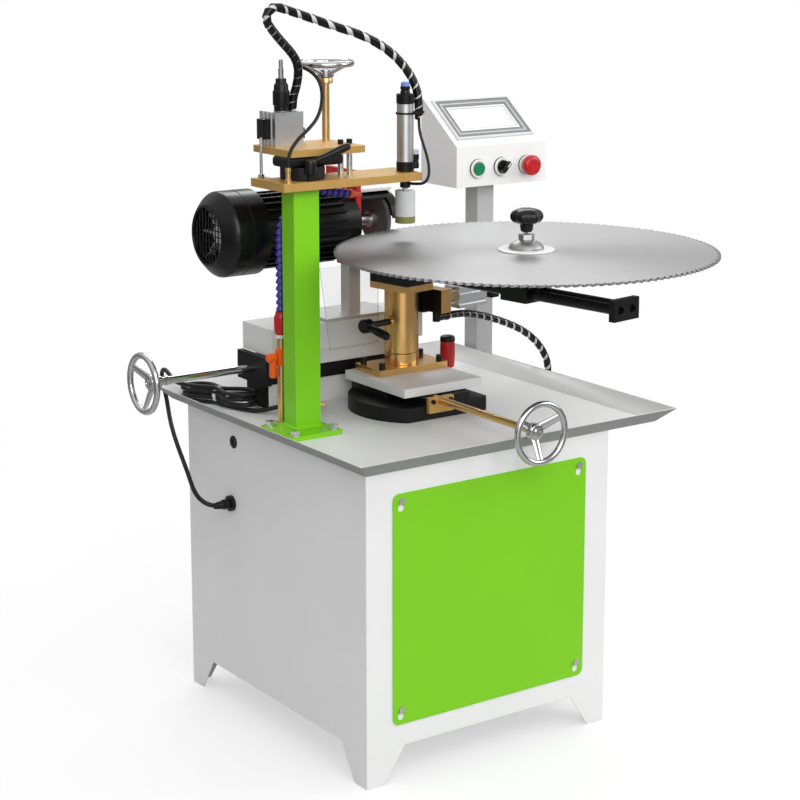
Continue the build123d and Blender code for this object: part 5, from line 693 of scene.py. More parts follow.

# %% [markdown]
# ## Cabinet and tray
# The cabinet, tray and panel are folded sheet, right as solids, so their copies only need broken
# edges: a bright line along an edge is what tells the eye that a thing is made and not drawn. The
# rim's downward faces get a darker grey, which is painted shade, and a rubber grommet lines the
# hole in the left wall.

# %% Cabinet, tray and panel
WALL_X = 252
CABLE_HOLE = (-WALL_X, 125, 496)
GROMMET = [(4.5, -2.5), (8.8, -2.5), (8.8, 0), (11.4, 0), (11.4, 1.0), (10.6, 1.8), (5.3, 1.8), (4.5, 1.0)]
walls = machined("cabinet_sides", white_paint, 0.9, whole=False)
repaint(walls, black_plastic, lambda x, y, z: abs(x) > WALL_X + 0.3 and z > 300)
grommet = hoop(rubber, GROMMET, CABLE_HOLE, (-1, 0, 0), 32)
hand_over(join(walls, grommet), "cabinet_side_walls", "cabinet_sides")
copy_over("cabinet_ends", "cabinet_end_walls", white_paint, 0.9)
copy_over("front_panel", "green_front_panel", green_paint, 0.5)
copy_over("tray_floor", "chip_tray_floor", white_paint, 0.4)
# Painted shade: the rim's faces that look downward get the darker grey, for the shade under the rim.
rim = repaint(machined("tray_rim", white_paint, 0.6), painted_rim_shade, looks=lambda way: way.z < -0.3)
hand_over(rim, "chip_tray_rim", "tray_rim")
cap_screws = black_plastic, lambda x, y, z: y < -60 and z > 550
copy_over("stand_screws", "stand_fasteners", zinc, 0.5, cap_screws)
print("sheet metal pieces done")

# %% [markdown]
# ## Column
# The column is a square tube welded to a foot plate and painted in one colour. The weld is a small
# sloped bead round the tube: a plane, extruded once and scaled in at the top.

# %% Column with its weld
COLUMN_X, COLUMN_Y, FOOT_TOP = (-206, -156), (-8, 30), 540


def weld_bead(finish, x, y, z, leg, tall):
    clear_bench()
    middle = sum(x) / 2, sum(y) / 2
    bpy.ops.mesh.primitive_plane_add(size=MM, location=at(*middle, z))
    obj = bpy.context.object
    obj.scale = (x[1] - x[0] + 2 * leg, y[1] - y[0] + 2 * leg, 1)
    set_in_mesh()
    edit_all()
    extrude_up(tall)
    shares = [(b - a) / (b - a + 2 * leg) for a, b in (x, y)]
    bpy.ops.transform.resize(value=(*shares, 1), center_override=at(*middle, z + tall))
    face_outward()
    return dress(soften(obj, 1.2, 20, 3), finish)


column = machined("column", green_paint, 1.6)
bead = weld_bead(green_paint, COLUMN_X, COLUMN_Y, FOOT_TOP, 4, 4.5)
hand_over(join(column, bead), "green_column", "column")
print("column done")

# %% [markdown]
# ## Arm, swivel and lever on the column
# The gold plates are sawn and zinc plated. The swivel between them is a black casting with rounded
# corners, so it is a turned disc under a generously rounded block. Its lever is a tapered handle.

# %% Arm plate, swivel and lever
copy_over("arm_plate", "gold_arm_plate", gold, 0.8)
ARM_TOP = 964
swivel_disc = turned(cast_black, [(36, 0), (38, 2), (38, 20), (36.5, 22)], (-168, 24, ARM_TOP))
swivel_saddle = block(cast_black, (-214, -100), (-1, 49), (986, 1004), 6, 4)
port_profile = [(5.6, 0), (5.6, 6), (4.2, 7), (4.2, 18), (5.2, 19), (5.2, 26)]
port = turned(rod_brass, port_profile, (-220, -14, ARM_TOP), sides=24)
hand_over(join(swivel_disc, swivel_saddle, port), "black_swivel", "swivel_base")
lever_profile = [(5, -12), (5, 0), (9.6, 0.2), (11, 1.6), (11, 19), (9, 22.6), (5, 24)]
lever_hub = turned(black_plastic, lever_profile, (-176, -13, 976.5))
lever_radii = (5.2, 5.0, 5.6, 6.4, 6.8, 6.4)
lever_arm = grip(black_plastic, (-174, -13.3, 994.7), (-109, -23.2, 1018.2), lever_radii)
hand_over(join(lever_hub, lever_arm), "top_lever_black", "top_lever")
plate_screws = black_plastic, lambda x, y, z: z > 1016.2 and x > -100
plate_posts = zinc, lambda x, y, z: z < 1003.5 or x < -212
copy_over("upper_plate", "gold_upper_plate", gold, 0.7, plate_screws, plate_posts)
print("arm and swivel done")

# %% [markdown]
# ## Stroke cylinder
# The aluminium block is extruded profile, so the solid's grooves stay. Its black adjuster is turned
# in two steps with a bore for the rod, which is an outline spun round, and the rod ends in a thin tip.

# %% Stroke cylinder, adjuster and rod
STROKE, BLOCK_TOP = (-170, 86.5), 1073
ADJUSTER = [
    (4.9, 0), (12.5, 0), (12.5, 9), (13.3, 9.8), (14.5, 10.6), (14.5, 33), (13.6, 34.2), (12.4, 36.5),
    (12.4, 43), (10.6, 46.5), (9.2, 48), (9.2, 54.2), (8.4, 55), (4.9, 55),
]
stroke = cut_off_above(machined("stroke_cylinder", aluminium, 0.7), BLOCK_TOP + 0.2)
repaint(stroke, black_plastic, lambda x, y, z: not -198.2 <= x <= -141.8)
adjuster = hoop(black_plastic, ADJUSTER, (*STROKE, BLOCK_TOP), sides=40)
hand_over(join(stroke, adjuster), "stroke_cylinder_block", "stroke_cylinder")
low, high = (drawn(corner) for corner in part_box("stroke_rod"))
rod_long = high.z - low.z
rod_tip = [(4.5, -15), (3.5, -14), (3.5, -1.2), (2.4, 0)]
rod_profile = [(4.5, 0)] + [(radius, rod_long + back) for radius, back in rod_tip]
rod = turned(chrome, rod_profile, (*STROKE, low.z), sides=32)
hand_over(rod, "stroke_rod_bright", "stroke_rod")
print("stroke rod", round(rod_long, 1), "mm long")

# %% [markdown]
# ## Hold-down cylinder
# A small round air cylinder: a bright tube rolled between two black caps, with push-in fittings
# whose coloured rings release the hose. A cable tie holds the hose bundle against the tube. The tie
# starts as a circle, whose far half is moved over to the hose and made smaller.

# %% Hold-down cylinder
HOLD = (30, 5)
HOLD_CAP = [(14.3, 0), (15.5, 1.2), (15.5, 15.8), (14.6, 17)]
TOP_FITTING = [(8.5, 0), (8.5, 4), (7.6, 5), (7.6, 7), (8.5, 8), (8.5, 12.4), (7.8, 13)]
HOLD_SIDE = (51.5, 5)
SIDE_FITTING = [(5.4, 0), (6.5, 1.2), (6.5, 10), (5.6, 11), (5.6, 15), (6.5, 16), (6.5, 25)]
collar = cut_off_above(machined("hold_cylinder", black_plastic, 0.6), 963.8)
hold_parts = [
    turned(satin, [(14.2, 0), (14.5, 0.4), (14.5, 99.6), (14.2, 100)], (*HOLD, 981)),
    turned(black_plastic, HOLD_CAP, (*HOLD, 964)),
    turned(black_plastic, HOLD_CAP, (*HOLD, 1081)),
    turned(black_plastic, TOP_FITTING, (*HOLD, 1098), sides=28),
    turned(sky_plastic, [(7.4, 0), (7.4, 5.6), (6.4, 7), (4, 7)], (*HOLD, 1111), sides=28),
    turned(black_plastic, [(5, 0), (5, 36.5)], (15, 5, 972.5), (1, 0, 0), 24),
    turned(black_plastic, SIDE_FITTING, (*HOLD_SIDE, 967.5), sides=28),
    turned(lilac_plastic, [(6.2, 0), (6.2, 6.6), (5.2, 8), (3, 8)], (*HOLD_SIDE, 992.5), sides=28),
]
print("cylinder pieces", len(hold_parts))

# %% Cable tie and pad
HOSE_X = 59
TIE_Z, TIE_RADIUS, TIE_TALL, TIE_THICK = 1063, 15.4, 3.2, 1.1
HOSE_SHARE = 0.56


def cable_tie():
    clear_bench()
    middle = at(*HOLD, TIE_Z)
    bpy.ops.mesh.primitive_circle_add(vertices=64, radius=TIE_RADIUS * MM, location=middle)
    obj = bpy.context.object
    set_in_mesh()
    edit()
    bpy.ops.mesh.select_all(action="DESELECT")
    done_editing()
    for vertex in obj.data.vertices:
        vertex.select = vertex.co.x > middle.x + 0.1 * MM
    edit()
    bpy.ops.transform.resize(value=(HOSE_SHARE, HOSE_SHARE, 1), center_override=middle)
    bpy.ops.transform.translate(value=((HOSE_X - HOLD[0]) * MM, 0, 0))
    bpy.ops.mesh.select_all(action="SELECT")
    extrude_up(TIE_TALL)
    face_outward()
    return dress(apply_modifier(obj, "SOLIDIFY", thickness=TIE_THICK * MM, offset=1), black_plastic)


tie_head = block(black_plastic, (38, 44), (-14.5, -9.5), (1062, 1067.5), 0.8)
hand_over(join(*hold_parts, cable_tie(), tie_head, collar), "hold_down_cylinder", "hold_cylinder")
PAD_BAND = 886
pad = cut(machined("hold_pad", pad_nylon, 0.8), (0, 0, PAD_BAND), (0, 0, 1), drop=False)
repaint(pad, olive_rubber, lambda x, y, z: z < PAD_BAND)
hand_over(pad, "hold_down_pad", "hold_pad")
print("hold-down done")

# %% [markdown]
# ## Motor
# The finned housing is cast, and the fan cover is a pressed cap with a rounded shoulder, a seam and
# a net of wire over its opening. The cap is one outline spun round, wall and all. The net is a grid
# whose outer faces are deleted and whose edges a Wireframe modifier makes into wires.

# %% Fan cover
MOTOR = (163, 858)
COVER_BACK = -190


def pick_faces(obj, wanted):
    """Starts to edit a piece with only those faces picked that pass a test."""
    edit_all()
    bpy.ops.mesh.select_mode(type="FACE")
    bpy.ops.mesh.select_all(action="DESELECT")
    done_editing()
    for face in obj.data.polygons:
        face.select = wanted(face)
    edit()


def wire_net(finish, width, cells, reach, wire):
    clear_bench()
    bpy.ops.mesh.primitive_grid_add(x_subdivisions=cells, y_subdivisions=cells, size=width * MM)
    obj = bpy.context.object
    pick_faces(obj, lambda face: face.center.length > reach * MM)
    bpy.ops.mesh.delete(type="FACE")
    done_editing()
    return dress(apply_modifier(obj, "WIREFRAME", thickness=wire * MM, use_even_offset=False), finish)


cover_outer = [
    (71.5, 0), (75, 0), (75, 33), (74.2, 33.8), (74.2, 36.4), (75, 37.2), (75, 61), (74.5, 64), (73, 67),
    (69.5, 71.5), (64, 77), (58.5, 82), (55, 85), (52.6, 86.6), (50.6, 87), (48.4, 86.3), (47.6, 84.5),
]
cover_inner = [(47.6, 79), (50, 77), (61, 70), (70, 61), (71.5, 56)]
cover = hoop(motor_black, cover_outer + cover_inner, (COVER_BACK, *MOTOR), (-1, 0, 0), 72)
net = settle(wire_net(motor_black, 106, 10, 52, 2.6), (COVER_BACK - 81.5, *MOTOR), (-1, 0, 0))
hand_over(join(cover, net), "motor_fan_cover", "fan_cover")
print("fan cover nose at", COVER_BACK - max(out for radius, out in cover_outer), "mm")

# %% Motor housing, wheel and guard
copy_over("motor_body", "motor_finned_body", motor_black, 0.6)
fan = pale_plastic, lambda x, y, z: x < -195
copy_over("motor_rotor", "motor_shaft_and_fan", silver, 0.4, fan)
copy_over("grinding_wheel", "grit_wheel", grit, 0.5)
copy_over("mount_plate", "red_motor_plate", red_paint, 1.0)
strap = pale_plate, lambda x, y, z: z > 911
copy_over("wheel_guard", "wheel_guard_black", motor_black, 0.8, strap)
print("grinding head done")

# %% [markdown]
# ## Rear slide and splash sheet
# The way is cast and its top and end block are black; riser and saddle are painted white as the box
# on them. The clear sheet gets a second, greyer finish on its sawn edges.

# %% Rear slide
riser = white_paint, lambda x, y, z: z < 577.8 and x > -156.8
copy_over("rear_way", "rear_way_black", cast_black, 1.0, riser)
copy_over("rear_carriage", "rear_carriage_box", white_paint, 0.9)
copy_over("head_post", "head_post_steel", silver, 0.8)
sheet = machined("splash_sheet", acrylic, 0)
repaint(sheet, acrylic_edge, looks=lambda way: abs(way.y) <= 0.5)
hand_over(sheet, "clear_splash_sheet", "splash_sheet")
print("rear slide done")

# %% [markdown]
# ## Front slide, post and levers
# The post, its foot and its bearing are turned and sawn bronze. The clamp lever is a hub on a stud
# with a tapered handle. The lock lever's red grip is barrel shaped, under a black cap.

# %% Front slide and post
ARM_SWING = math.radians(9)
POST = (84.0, 93.0)


def swung(x, y, z):
    """A point given along and across the swung blade arm, from the post's axis."""
    return (POST[0] + x * math.cos(ARM_SWING) - y * math.sin(ARM_SWING),
            POST[1] + x * math.sin(ARM_SWING) + y * math.cos(ARM_SWING), z)


def along_arm(x, y):
    """The other way round: how far along the arm's own x a place is."""
    return (x - POST[0]) * math.cos(ARM_SWING) + (y - POST[1]) * math.sin(ARM_SWING)


copy_over("front_base", "round_black_base", cast_black, 1.4)
copy_over("slide_rails", "black_slide_rails", cast_black, 0.8)
copy_over("slide_plate", "pale_slide_plate", pale_plate, 1.0)
copy_over("front_bearing", "gold_front_bearing", gold, 0.8)
foot_screws = black_plastic, lambda x, y, z: z > 602.2 and not 30 <= x <= 138
copy_over("post_foot", "bronze_post_foot", brass, 0.8, foot_screws)
copy_over("post_sleeve", "bronze_post_sleeve", brass, 0.8)
print("front slide done")

# %% Clamp and lock levers
CLAMP_Z = 681
arm_x = Vector(swung(1, 0, 0)) - Vector(swung(0, 0, 0))
CLAMP_RADII = (7.2, 6.2, 6.6, 7.6, 8.0, 7.4)
CLAMP_HUB = [(10.5, 0), (12.6, 1.6), (13, 4), (13, 16), (11.5, 19), (7, 20)]
stud = turned(black_plastic, [(6, 0), (6, 44)], swung(-36, 0, CLAMP_Z), -arm_x, 32)
clamp_hub = turned(black_plastic, CLAMP_HUB, swung(-77.5, 0, CLAMP_Z), -arm_x)
clamp_ends = swung(-87.5, 2, CLAMP_Z + 0.4), swung(-87.5, -52, CLAMP_Z - 10.8)
clamp_arm = grip(black_plastic, *clamp_ends, CLAMP_RADII)
hand_over(join(stud, clamp_hub, clamp_arm), "post_clamp_lever", "clamp_lever")
LOCK = (190, 96)
RED_GRIP = [(10.5, 0), (12.8, 1.4), (13.5, 8), (14, 22), (13.8, 36), (13.2, 48.5), (12.6, 49)]
GRIP_CAP = [(12.6, 0), (13.8, 0.6), (14, 2), (14, 6), (12.6, 9.4), (9, 10.8), (4, 11.2)]
lock_stem = cut_off_above(machined("lock_lever", zinc, 0.6), 577.6)
red_grip = turned(red_plastic, RED_GRIP, (*LOCK, 578))
cap = turned(black_plastic, GRIP_CAP, (*LOCK, 626.8))
hand_over(join(lock_stem, red_grip, cap), "slide_lock_lever", "lock_lever")
print("levers done")

# %% [markdown]
# ## Handwheels
# A cast wheel is dished: its hub stands on the shaft's shoulder, the spokes slope outward and the
# rim is in front. One function models it about +Z. The rim is a circle spun round, a spoke is a
# flattened taper, and the hub is turned with a shoulder and a countersunk middle.

# %% The wheel
RIM_RADIUS, RIM_OUT, SPOKES = 5.5, 24.0, 3
SPOKE_FLATNESS = 0.42


def squeeze(obj, scale):
    obj.scale = scale
    take(obj)
    set_in_mesh()
    return obj


def spoke(major, turn):
    radial = Matrix.Rotation(turn, 3, "Z") @ Vector((1, 0, 0))
    start = radial * 8 + Vector((0, 0, 6.5))
    end = radial * (major - 1) + Vector((0, 0, RIM_OUT))
    line = end - start
    shape = [(9.6, 0), (8.2, 0.22), (7.2, 0.6), (6.8, 0.85), (7.6, 1.0)]
    obj = turned(chrome, [(radius, share * line.length) for radius, share in shape], sides=24)
    return settle(squeeze(obj, (1, SPOKE_FLATNESS, 1)), start * MM, line)


HUB = [
    (12.6, 0), (14, 1.2), (14, 12.4), (13.2, 14), (12, 15), (7.8, 15.2), (7.2, 15.4), (7.2, 17.2),
    (6.4, 18), (3.6, 18), (2.8, 16.4),
]


def handwheel(radius):
    major = radius - RIM_RADIUS
    turns = [2 * math.pi * i / 18 for i in range(18)]
    section = [(major + RIM_RADIUS * math.cos(a), RIM_OUT + RIM_RADIUS * math.sin(a)) for a in turns]
    spokes = [spoke(major, 2 * math.pi * i / SPOKES) for i in range(SPOKES)]
    return join(hoop(chrome, section), turned(chrome, HUB), *spokes)


print("a wheel has", SPOKES, "spokes")

# %% Three handwheels on their shafts
LEFT_TURN, FRONT_TURN = math.radians(60), math.radians(30)
TO_LEFT = Matrix.Rotation(math.radians(-90), 3, "Y") @ Matrix.Rotation(LEFT_TURN, 3, "Z")
TO_FRONT = Matrix.Rotation(math.radians(90), 3, "X") @ Matrix.Rotation(FRONT_TURN, 3, "Z")
LEFT_SEAT, FRONT_SEAT, TOP_SEAT = (-362, 200, 604), (57, -320, 566), (-74, 96, 1125)
LEFT_SHAFT = [(10, 0), (10, 9), (7, 10), (7, 16), (8.6, 17), (8.6, 22), (7, 23), (7, 384), (6.4, 385)]
TOP_SCREW = [(6.5, 0), (6.5, 140), (9.5, 140.4), (12.5, 141.4), (12.5, 149), (11, 151)]
left_wheel = settle(handwheel(55), LEFT_SEAT, lean=TO_LEFT)
left_shaft = turned(chrome, LEFT_SHAFT, LEFT_SEAT, (1, 0, 0))
hand_over(join(left_wheel, left_shaft), "left_handwheel_bright", "left_handwheel")
front_wheel = settle(handwheel(55), FRONT_SEAT, lean=TO_FRONT)
front_screw = turned(rod_brass, [(6.5, 0), (6.5, 409), (5.9, 410)], FRONT_SEAT, (0, 1, 0))
hand_over(join(front_wheel, front_screw), "front_handwheel_bright", "front_handwheel")
top_wheel = settle(handwheel(50), TOP_SEAT)
top_screw = turned(rod_brass, TOP_SCREW, (*TOP_SEAT[:2], TOP_SEAT[2] - TOP_SCREW[-1][1]))
hand_over(join(top_wheel, top_screw), "top_handwheel_bright", "top_handwheel")
print("handwheels done")

# %% [markdown]
# ## Blade arm
# The arm is two blackened bars between a head block and an end plate, whose two deep sockets are
# bored with a Boolean modifier. The solids of the slider and the feed unit are right as they are.

# %% Blade arm and feed
def bored(obj, *drills):
    for drill in drills:
        apply_modifier(obj, "BOOLEAN", object=drill, operation="DIFFERENCE", solver="EXACT")
        bpy.data.objects.remove(drill)
    return obj


ARM_END, BAR_Z, BAR_X = -524, 774, (-15, 15)
DRILL = [(7.6, 0), (7.6, 12)]
arm_out = Vector(swung(0, -1, 0)) - Vector(swung(0, 0, 0))
drills = [turned(black_plastic, DRILL, swung(x, ARM_END + 7, BAR_Z), arm_out, 32) for x in BAR_X]
arm = bored(machined("blade_arm", dark_steel, 0.8), *drills)
hand_over(arm, "blade_arm_dark", "blade_arm")
copy_over("arbor_slider", "arbor_slider_dark", dark_steel, 0.8)
feed = machined("feed_block", brass, 0.7)
# The bracket, short of 47 mm along the arm, is blackened steel; the test also takes the bronze block's left
# side face at 47 mm, whose dark is painted shade.
repaint(feed, dark_steel, lambda x, y, z: along_arm(x, y) < 47.2)
repaint(feed, black_plastic, lambda x, y, z: z < 691.8)
sleeve = turned(black_plastic, [(7.4, 0), (8, 0.6), (8, 6), (7, 7)], swung(82.5, -30, 680), arm_x, 32)
hand_over(join(feed, sleeve), "bronze_feed_block", "feed_block")
copy_over("feed_cylinder", "feed_air_cylinder", aluminium, 0.7)
copy_over("feed_pawl", "feed_pawl_dark", dark_steel, 0.8)
print("blade arm done")

# %% [markdown]
# ## Blade, flanges and knob
# The blade is ground round its middle, which draws the light into a fan. It is clamped between two
# flanges by a domed washer and a nut. The knob on top has six lobes: a turned shape whose valleys
# are pulled in, finished with a Subdivision Surface modifier.

# %% Blade and flanges
BLADE = drawn(blade_centre)
BLADE_AXIS = (BLADE.x, BLADE.y)
copy_over("blade", "saw_blade", blade_steel, 0)
DISC = [(47, 0), (48, 0.6), (48, 2.2), (47, 3), (31, 3)]
DOME = [(30, 0), (30, 2.6), (28, 6.4), (24, 9.6), (19.5, 12.2), (16, 14), (14, 15)]
NUT = [(12.6, 0), (13.6, 1), (13.6, 10), (12.4, 11)]
lower = cut_off_above(machined("blade_arbor", flange_steel, 0.5), 844.4)
disc = turned(white_plastic, DISC, (*BLADE_AXIS, 844.5), sides=72)
dome = turned(dull_steel, DOME, (*BLADE_AXIS, 847.5))
nut = turned(zinc, NUT, (*BLADE_AXIS, 862.5), sides=6)
hand_over(join(lower, disc, dome, nut), "blade_flanges", "blade_arbor")
print("blade centre", [round(value, 1) for value in BLADE])

# %% Lobed knob
KNOB_Z, LOBES, VALLEY = 890.5, 6, 0.075
KNOB = [
    (11, -17), (11, -3), (12, -0.5), (23, 1.5), (27.6, 6), (29, 11), (28.4, 16), (24.5, 21.4), (17, 24.8),
    (8, 26),
]


def lobed_knob():
    obj = turned(black_plastic, KNOB, sides=8 * LOBES)
    for vertex in obj.data.vertices:
        if vertex.co.z > 1 * MM:
            turn = math.atan2(vertex.co.y, vertex.co.x)
            pull = 1 - VALLEY * (1 + math.cos(LOBES * turn))
            vertex.co.x *= pull
            vertex.co.y *= pull
    return apply_modifier(obj, "SUBSURF", levels=1, render_levels=1)


knob = settle(lobed_knob(), (*BLADE_AXIS, KNOB_Z))
hand_over(knob, "blade_knob_black", "blade_knob")
print("knob has", LOBES, "lobes")

# %% [markdown]
# ## Console
# A folded case carries a touch screen and three controls. The screen is one plate whose face is
# inset again and again, some steps sunk and some flat, and each band of faces gets its own finish by
# its distance from the edge.

# %% Touch screen
SCREEN_SIZE = (188.0, 112.0, 4.0)
BANDS = [
    (5.0, 0.0), (0.7, -0.6), (7.0, 0.0), (0.6, 0.4), (1.0, 0.0), (0.6, -0.4), (6.5, 0.0), (0.8, -0.7),
    (5.0, 0.0), (0.7, -0.3),
]
BAND_FINISH = [
    pale_plastic, line_plastic, grey_plastic, pale_plastic, pale_plastic, pale_plastic, grey_plastic,
    line_plastic, white_plastic, line_plastic, display_glass,
]


def touch_screen():
    clear_bench()
    bpy.ops.mesh.primitive_cube_add(size=MM, location=(0, 0, SCREEN_SIZE[2] / 2 * MM))
    obj = bpy.context.object
    obj.scale = SCREEN_SIZE
    set_in_mesh()
    pick_faces(obj, lambda face: face.normal.z > 0.9)
    for width, depth in BANDS:
        bpy.ops.mesh.inset(thickness=width * MM, depth=depth * MM)
    done_editing()
    for finish in BAND_FINISH:
        obj.data.materials.append(finish)
    edges = [sum(width for width, depth in BANDS[:i + 1]) for i in range(len(BANDS))]
    for face in obj.data.polygons:
        x, y = abs(face.center.x) / MM, abs(face.center.y) / MM
        inward = min(SCREEN_SIZE[0] / 2 - x, SCREEN_SIZE[1] / 2 - y)
        if face.normal.z > 0.05:
            face.material_index = sum(inward > edge for edge in edges)
    return soften(obj, 0.25, 60, 1)


SCREEN_SLOPE = math.atan2(84, 110)  # rise over run of the case's sloped face
slope_turn = Matrix.Rotation(SCREEN_SLOPE, 3, "X")
outward = slope_turn @ Vector((0, 0, 1))
screen_base = middle_of("touch_screen") - outward * SCREEN_SIZE[2] / 2 * MM
screen = settle(touch_screen(), screen_base, lean=slope_turn)
hand_over(screen, "touch_screen_framed", "touch_screen")
print("screen slopes", round(math.degrees(SCREEN_SLOPE), 1), "degrees")

# %% Case, bezels and post
BUTTON_X, BUTTON_Z, CASE_FRONT = (370, 428, 489), 919, 245
TOWARD = (0, -1, 0)
BEZEL_BACK = [(13.4, 0), (18.6, 0), (18.6, 2), (18, 2.6), (13.4, 2.6)]
BEZEL_RIM = [(13.3, 2.5), (17.4, 2.5), (17.4, 4.4), (16.4, 5.4), (14.6, 5.4), (13.3, 4.6)]
case = machined("console_case", console_paint, 1.6)
bezels = []
for x in BUTTON_X:
    seat = (x, CASE_FRONT, BUTTON_Z)
    for finish, outline in ((black_plastic, BEZEL_BACK), (white_plastic, BEZEL_RIM)):
        bezels.append(hoop(finish, outline, seat, TOWARD, 48))
hand_over(join(case, *bezels), "console_sloped_case", "console_case")
copy_over("console_post", "console_square_post", post_paint, 1.6)
print("console case with", len(BUTTON_X), "bezels")

# %% Three controls
START, SELECTOR, STOP = BUTTON_X
SELECTOR_TURN = math.radians(45)
SHANK_BACK, STOP_BACK = 262, 232
START_CAP = [(12.9, 0), (12.9, 24.2), (11.6, 25.8), (10.2, 26), (9.6, 25.2)]
STOP_HEAD = [(17, 0), (19.4, 1), (20, 3), (20, 8), (19, 11), (16.4, 13.2), (12, 14), (8, 14), (7.4, 13.4)]
start = turned(green_plastic, START_CAP, (START, SHANK_BACK, BUTTON_Z), TOWARD)
hand_over(start, "start_button_green", "start_button")
stop_shank = turned(black_plastic, [(9, 0), (9, 30)], (STOP, SHANK_BACK, BUTTON_Z), TOWARD)
stop_head = turned(red_plastic, STOP_HEAD, (STOP, STOP_BACK, BUTTON_Z), TOWARD, 64)
hand_over(join(stop_head, stop_shank), "stop_button_red", "stop_button")
DIAL = [(12.9, 0), (12.9, 24.6), (11.6, 26)]
dial = turned(black_plastic, DIAL, (SELECTOR, SHANK_BACK, BUTTON_Z), TOWARD)
wing_x, wing_z = (SELECTOR - 4, SELECTOR + 4), (BUTTON_Z - 13, BUTTON_Z + 13)
wing = block(black_plastic, wing_x, (224, 237), wing_z, 1.6, 3)
pointer_x, pointer_z = (SELECTOR - 1.3, SELECTOR + 1.3), (BUTTON_Z + 1, BUTTON_Z + 12)
knob_wing = join(wing, block(white_plastic, pointer_x, (223.6, 226), pointer_z, 0.4))
take(knob_wing)
dial_axis = at(SELECTOR, 0, BUTTON_Z)
turn = Matrix.Translation(dial_axis) @ Matrix.Rotation(SELECTOR_TURN, 4, "Y")
knob_wing.matrix_world = turn @ Matrix.Translation(-dial_axis)
set_in_mesh()
hand_over(join(dial, knob_wing), "selector_black", "selector")
print("controls done")

# %% [markdown]
# ## Coolant line
# A brass stand pipe carries an orange tap and a red valve. Above it runs a jointed hose: one bead is
# turned, and every next one is a copy set on the last, a few degrees further round in the bend.

# %% Stand pipe, valve and tap
COOLANT, TAP = (-191, 62), (62, 653)
VALVE = [(8.4, 0), (10.4, 2), (11.6, 10), (12, 18), (12, 30), (10.6, 34), (9.6, 36), (9, 40.4)]
pipe = turned(rod_brass, [(11, 0), (11, 5), (7, 6), (7, 154)], (*COOLANT, 532))
tap_body = turned(orange_plastic, [(8.6, 0), (10, 1.4), (10, 28.6), (8.6, 30)], (*COOLANT, 638))
white_collar = turned(white_plastic, [(9.2, 0), (10, 0.8), (10, 5.4), (9.4, 6)], (*COOLANT, 685.8))
valve = turned(red_plastic, VALVE, (*COOLANT, 691.6))
hand_over(join(pipe, tap_body, white_collar, valve), "coolant_stand_pipe", "coolant_pipe")
boss = turned(orange_plastic, [(6.4, 0), (8, 1.6), (8, 14.6), (6.6, 16)], (-219, *TAP), (1, 0, 0), 32)
tap_stem = turned(rod_brass, [(3.5, 0), (3.5, 6)], (-203.5, *TAP), (1, 0, 0), 24)
tap_lever = block(orange_plastic, (-213, -203), (56, 68), (617, 654), 2.6, 3)
hand_over(join(boss, tap_stem, tap_lever), "coolant_tap_orange", "coolant_tap")
print("stand pipe done")

# %% Jointed hose
BEADS, STRAIGHT_BEADS, BEND_BEADS = 26, 10, 11
BEAD_TURN, BEAD_STEP = math.radians(9), 12.0
BEAD = [(5.0, 0.2), (7.2, 0.9), (8, 2.6), (7.9, 4.6), (6.8, 7.4), (5.4, 9.4), (4.9, 11.2), (4.9, 12.6)]
NOZZLE = [(8, 0), (8, 3), (6.4, 8), (4.2, 15), (3, 21), (3, 26), (2, 26), (1.8, 20)]
first_bead = turned(blue_plastic, BEAD, sides=28)
beads = []
spot, lean_by = Vector((*COOLANT, 732)), 0.0
for i in range(BEADS):
    bead = on_bench(bpy.data.objects.new("bead", first_bead.data.copy()))
    tilt = Matrix.Rotation(lean_by, 3, "Y")
    beads.append(settle(bead, tuple(spot), lean=tilt))
    spot += tilt @ Vector((0, 0, BEAD_STEP))
    lean_by += BEAD_TURN if STRAIGHT_BEADS <= i < STRAIGHT_BEADS + BEND_BEADS else 0.0
bpy.data.objects.remove(first_bead)
nozzle = settle(turned(orange_plastic, NOZZLE), tuple(spot), lean=Matrix.Rotation(lean_by, 3, "Y"))
hand_over(join(*beads, nozzle), "jointed_coolant_hose", "coolant_hose")
print("hose tip near", [round(value) for value in spot])

# %% [markdown]
# ## Hoses and the power cord
# A hose is a fixed length of something that bends, so it is one smooth curve through its route. The
# route's points are the ones that the solids follow. A NURBS curve with an order of 3 stays close to
# them and has no corner anywhere.

# %% A smooth line through a route
def nurbs(name, route, radius):
    curve = bpy.data.curves.new(name, "CURVE")
    curve.dimensions = "3D"
    spline = curve.splines.new("NURBS")
    spline.points.add(len(route) - 1)
    for point, place in zip(spline.points, route):
        point.co = (*at(*place), 1.0)
    spline.order_u = 3
    spline.use_endpoint_u = True
    spline.resolution_u = 10
    curve.bevel_depth = radius * MM
    curve.bevel_resolution = 5
    curve.use_fill_caps = True
    return on_bench(bpy.data.objects.new(name, curve))


def line_of(route):
    """Points along the smooth line of a route, in metres."""
    bare = nurbs("bare line", route, 0.0)
    bpy.context.view_layer.update()
    mesh = bpy.data.meshes.new_from_object(bare)
    points = [vertex.co.copy() for vertex in mesh.vertices]
    bpy.data.objects.remove(bare)
    bpy.data.meshes.remove(mesh)
    return points


def run_length(points):
    return sum((b - a).length for a, b in zip(points, points[1:]))


print("curve helpers ready")

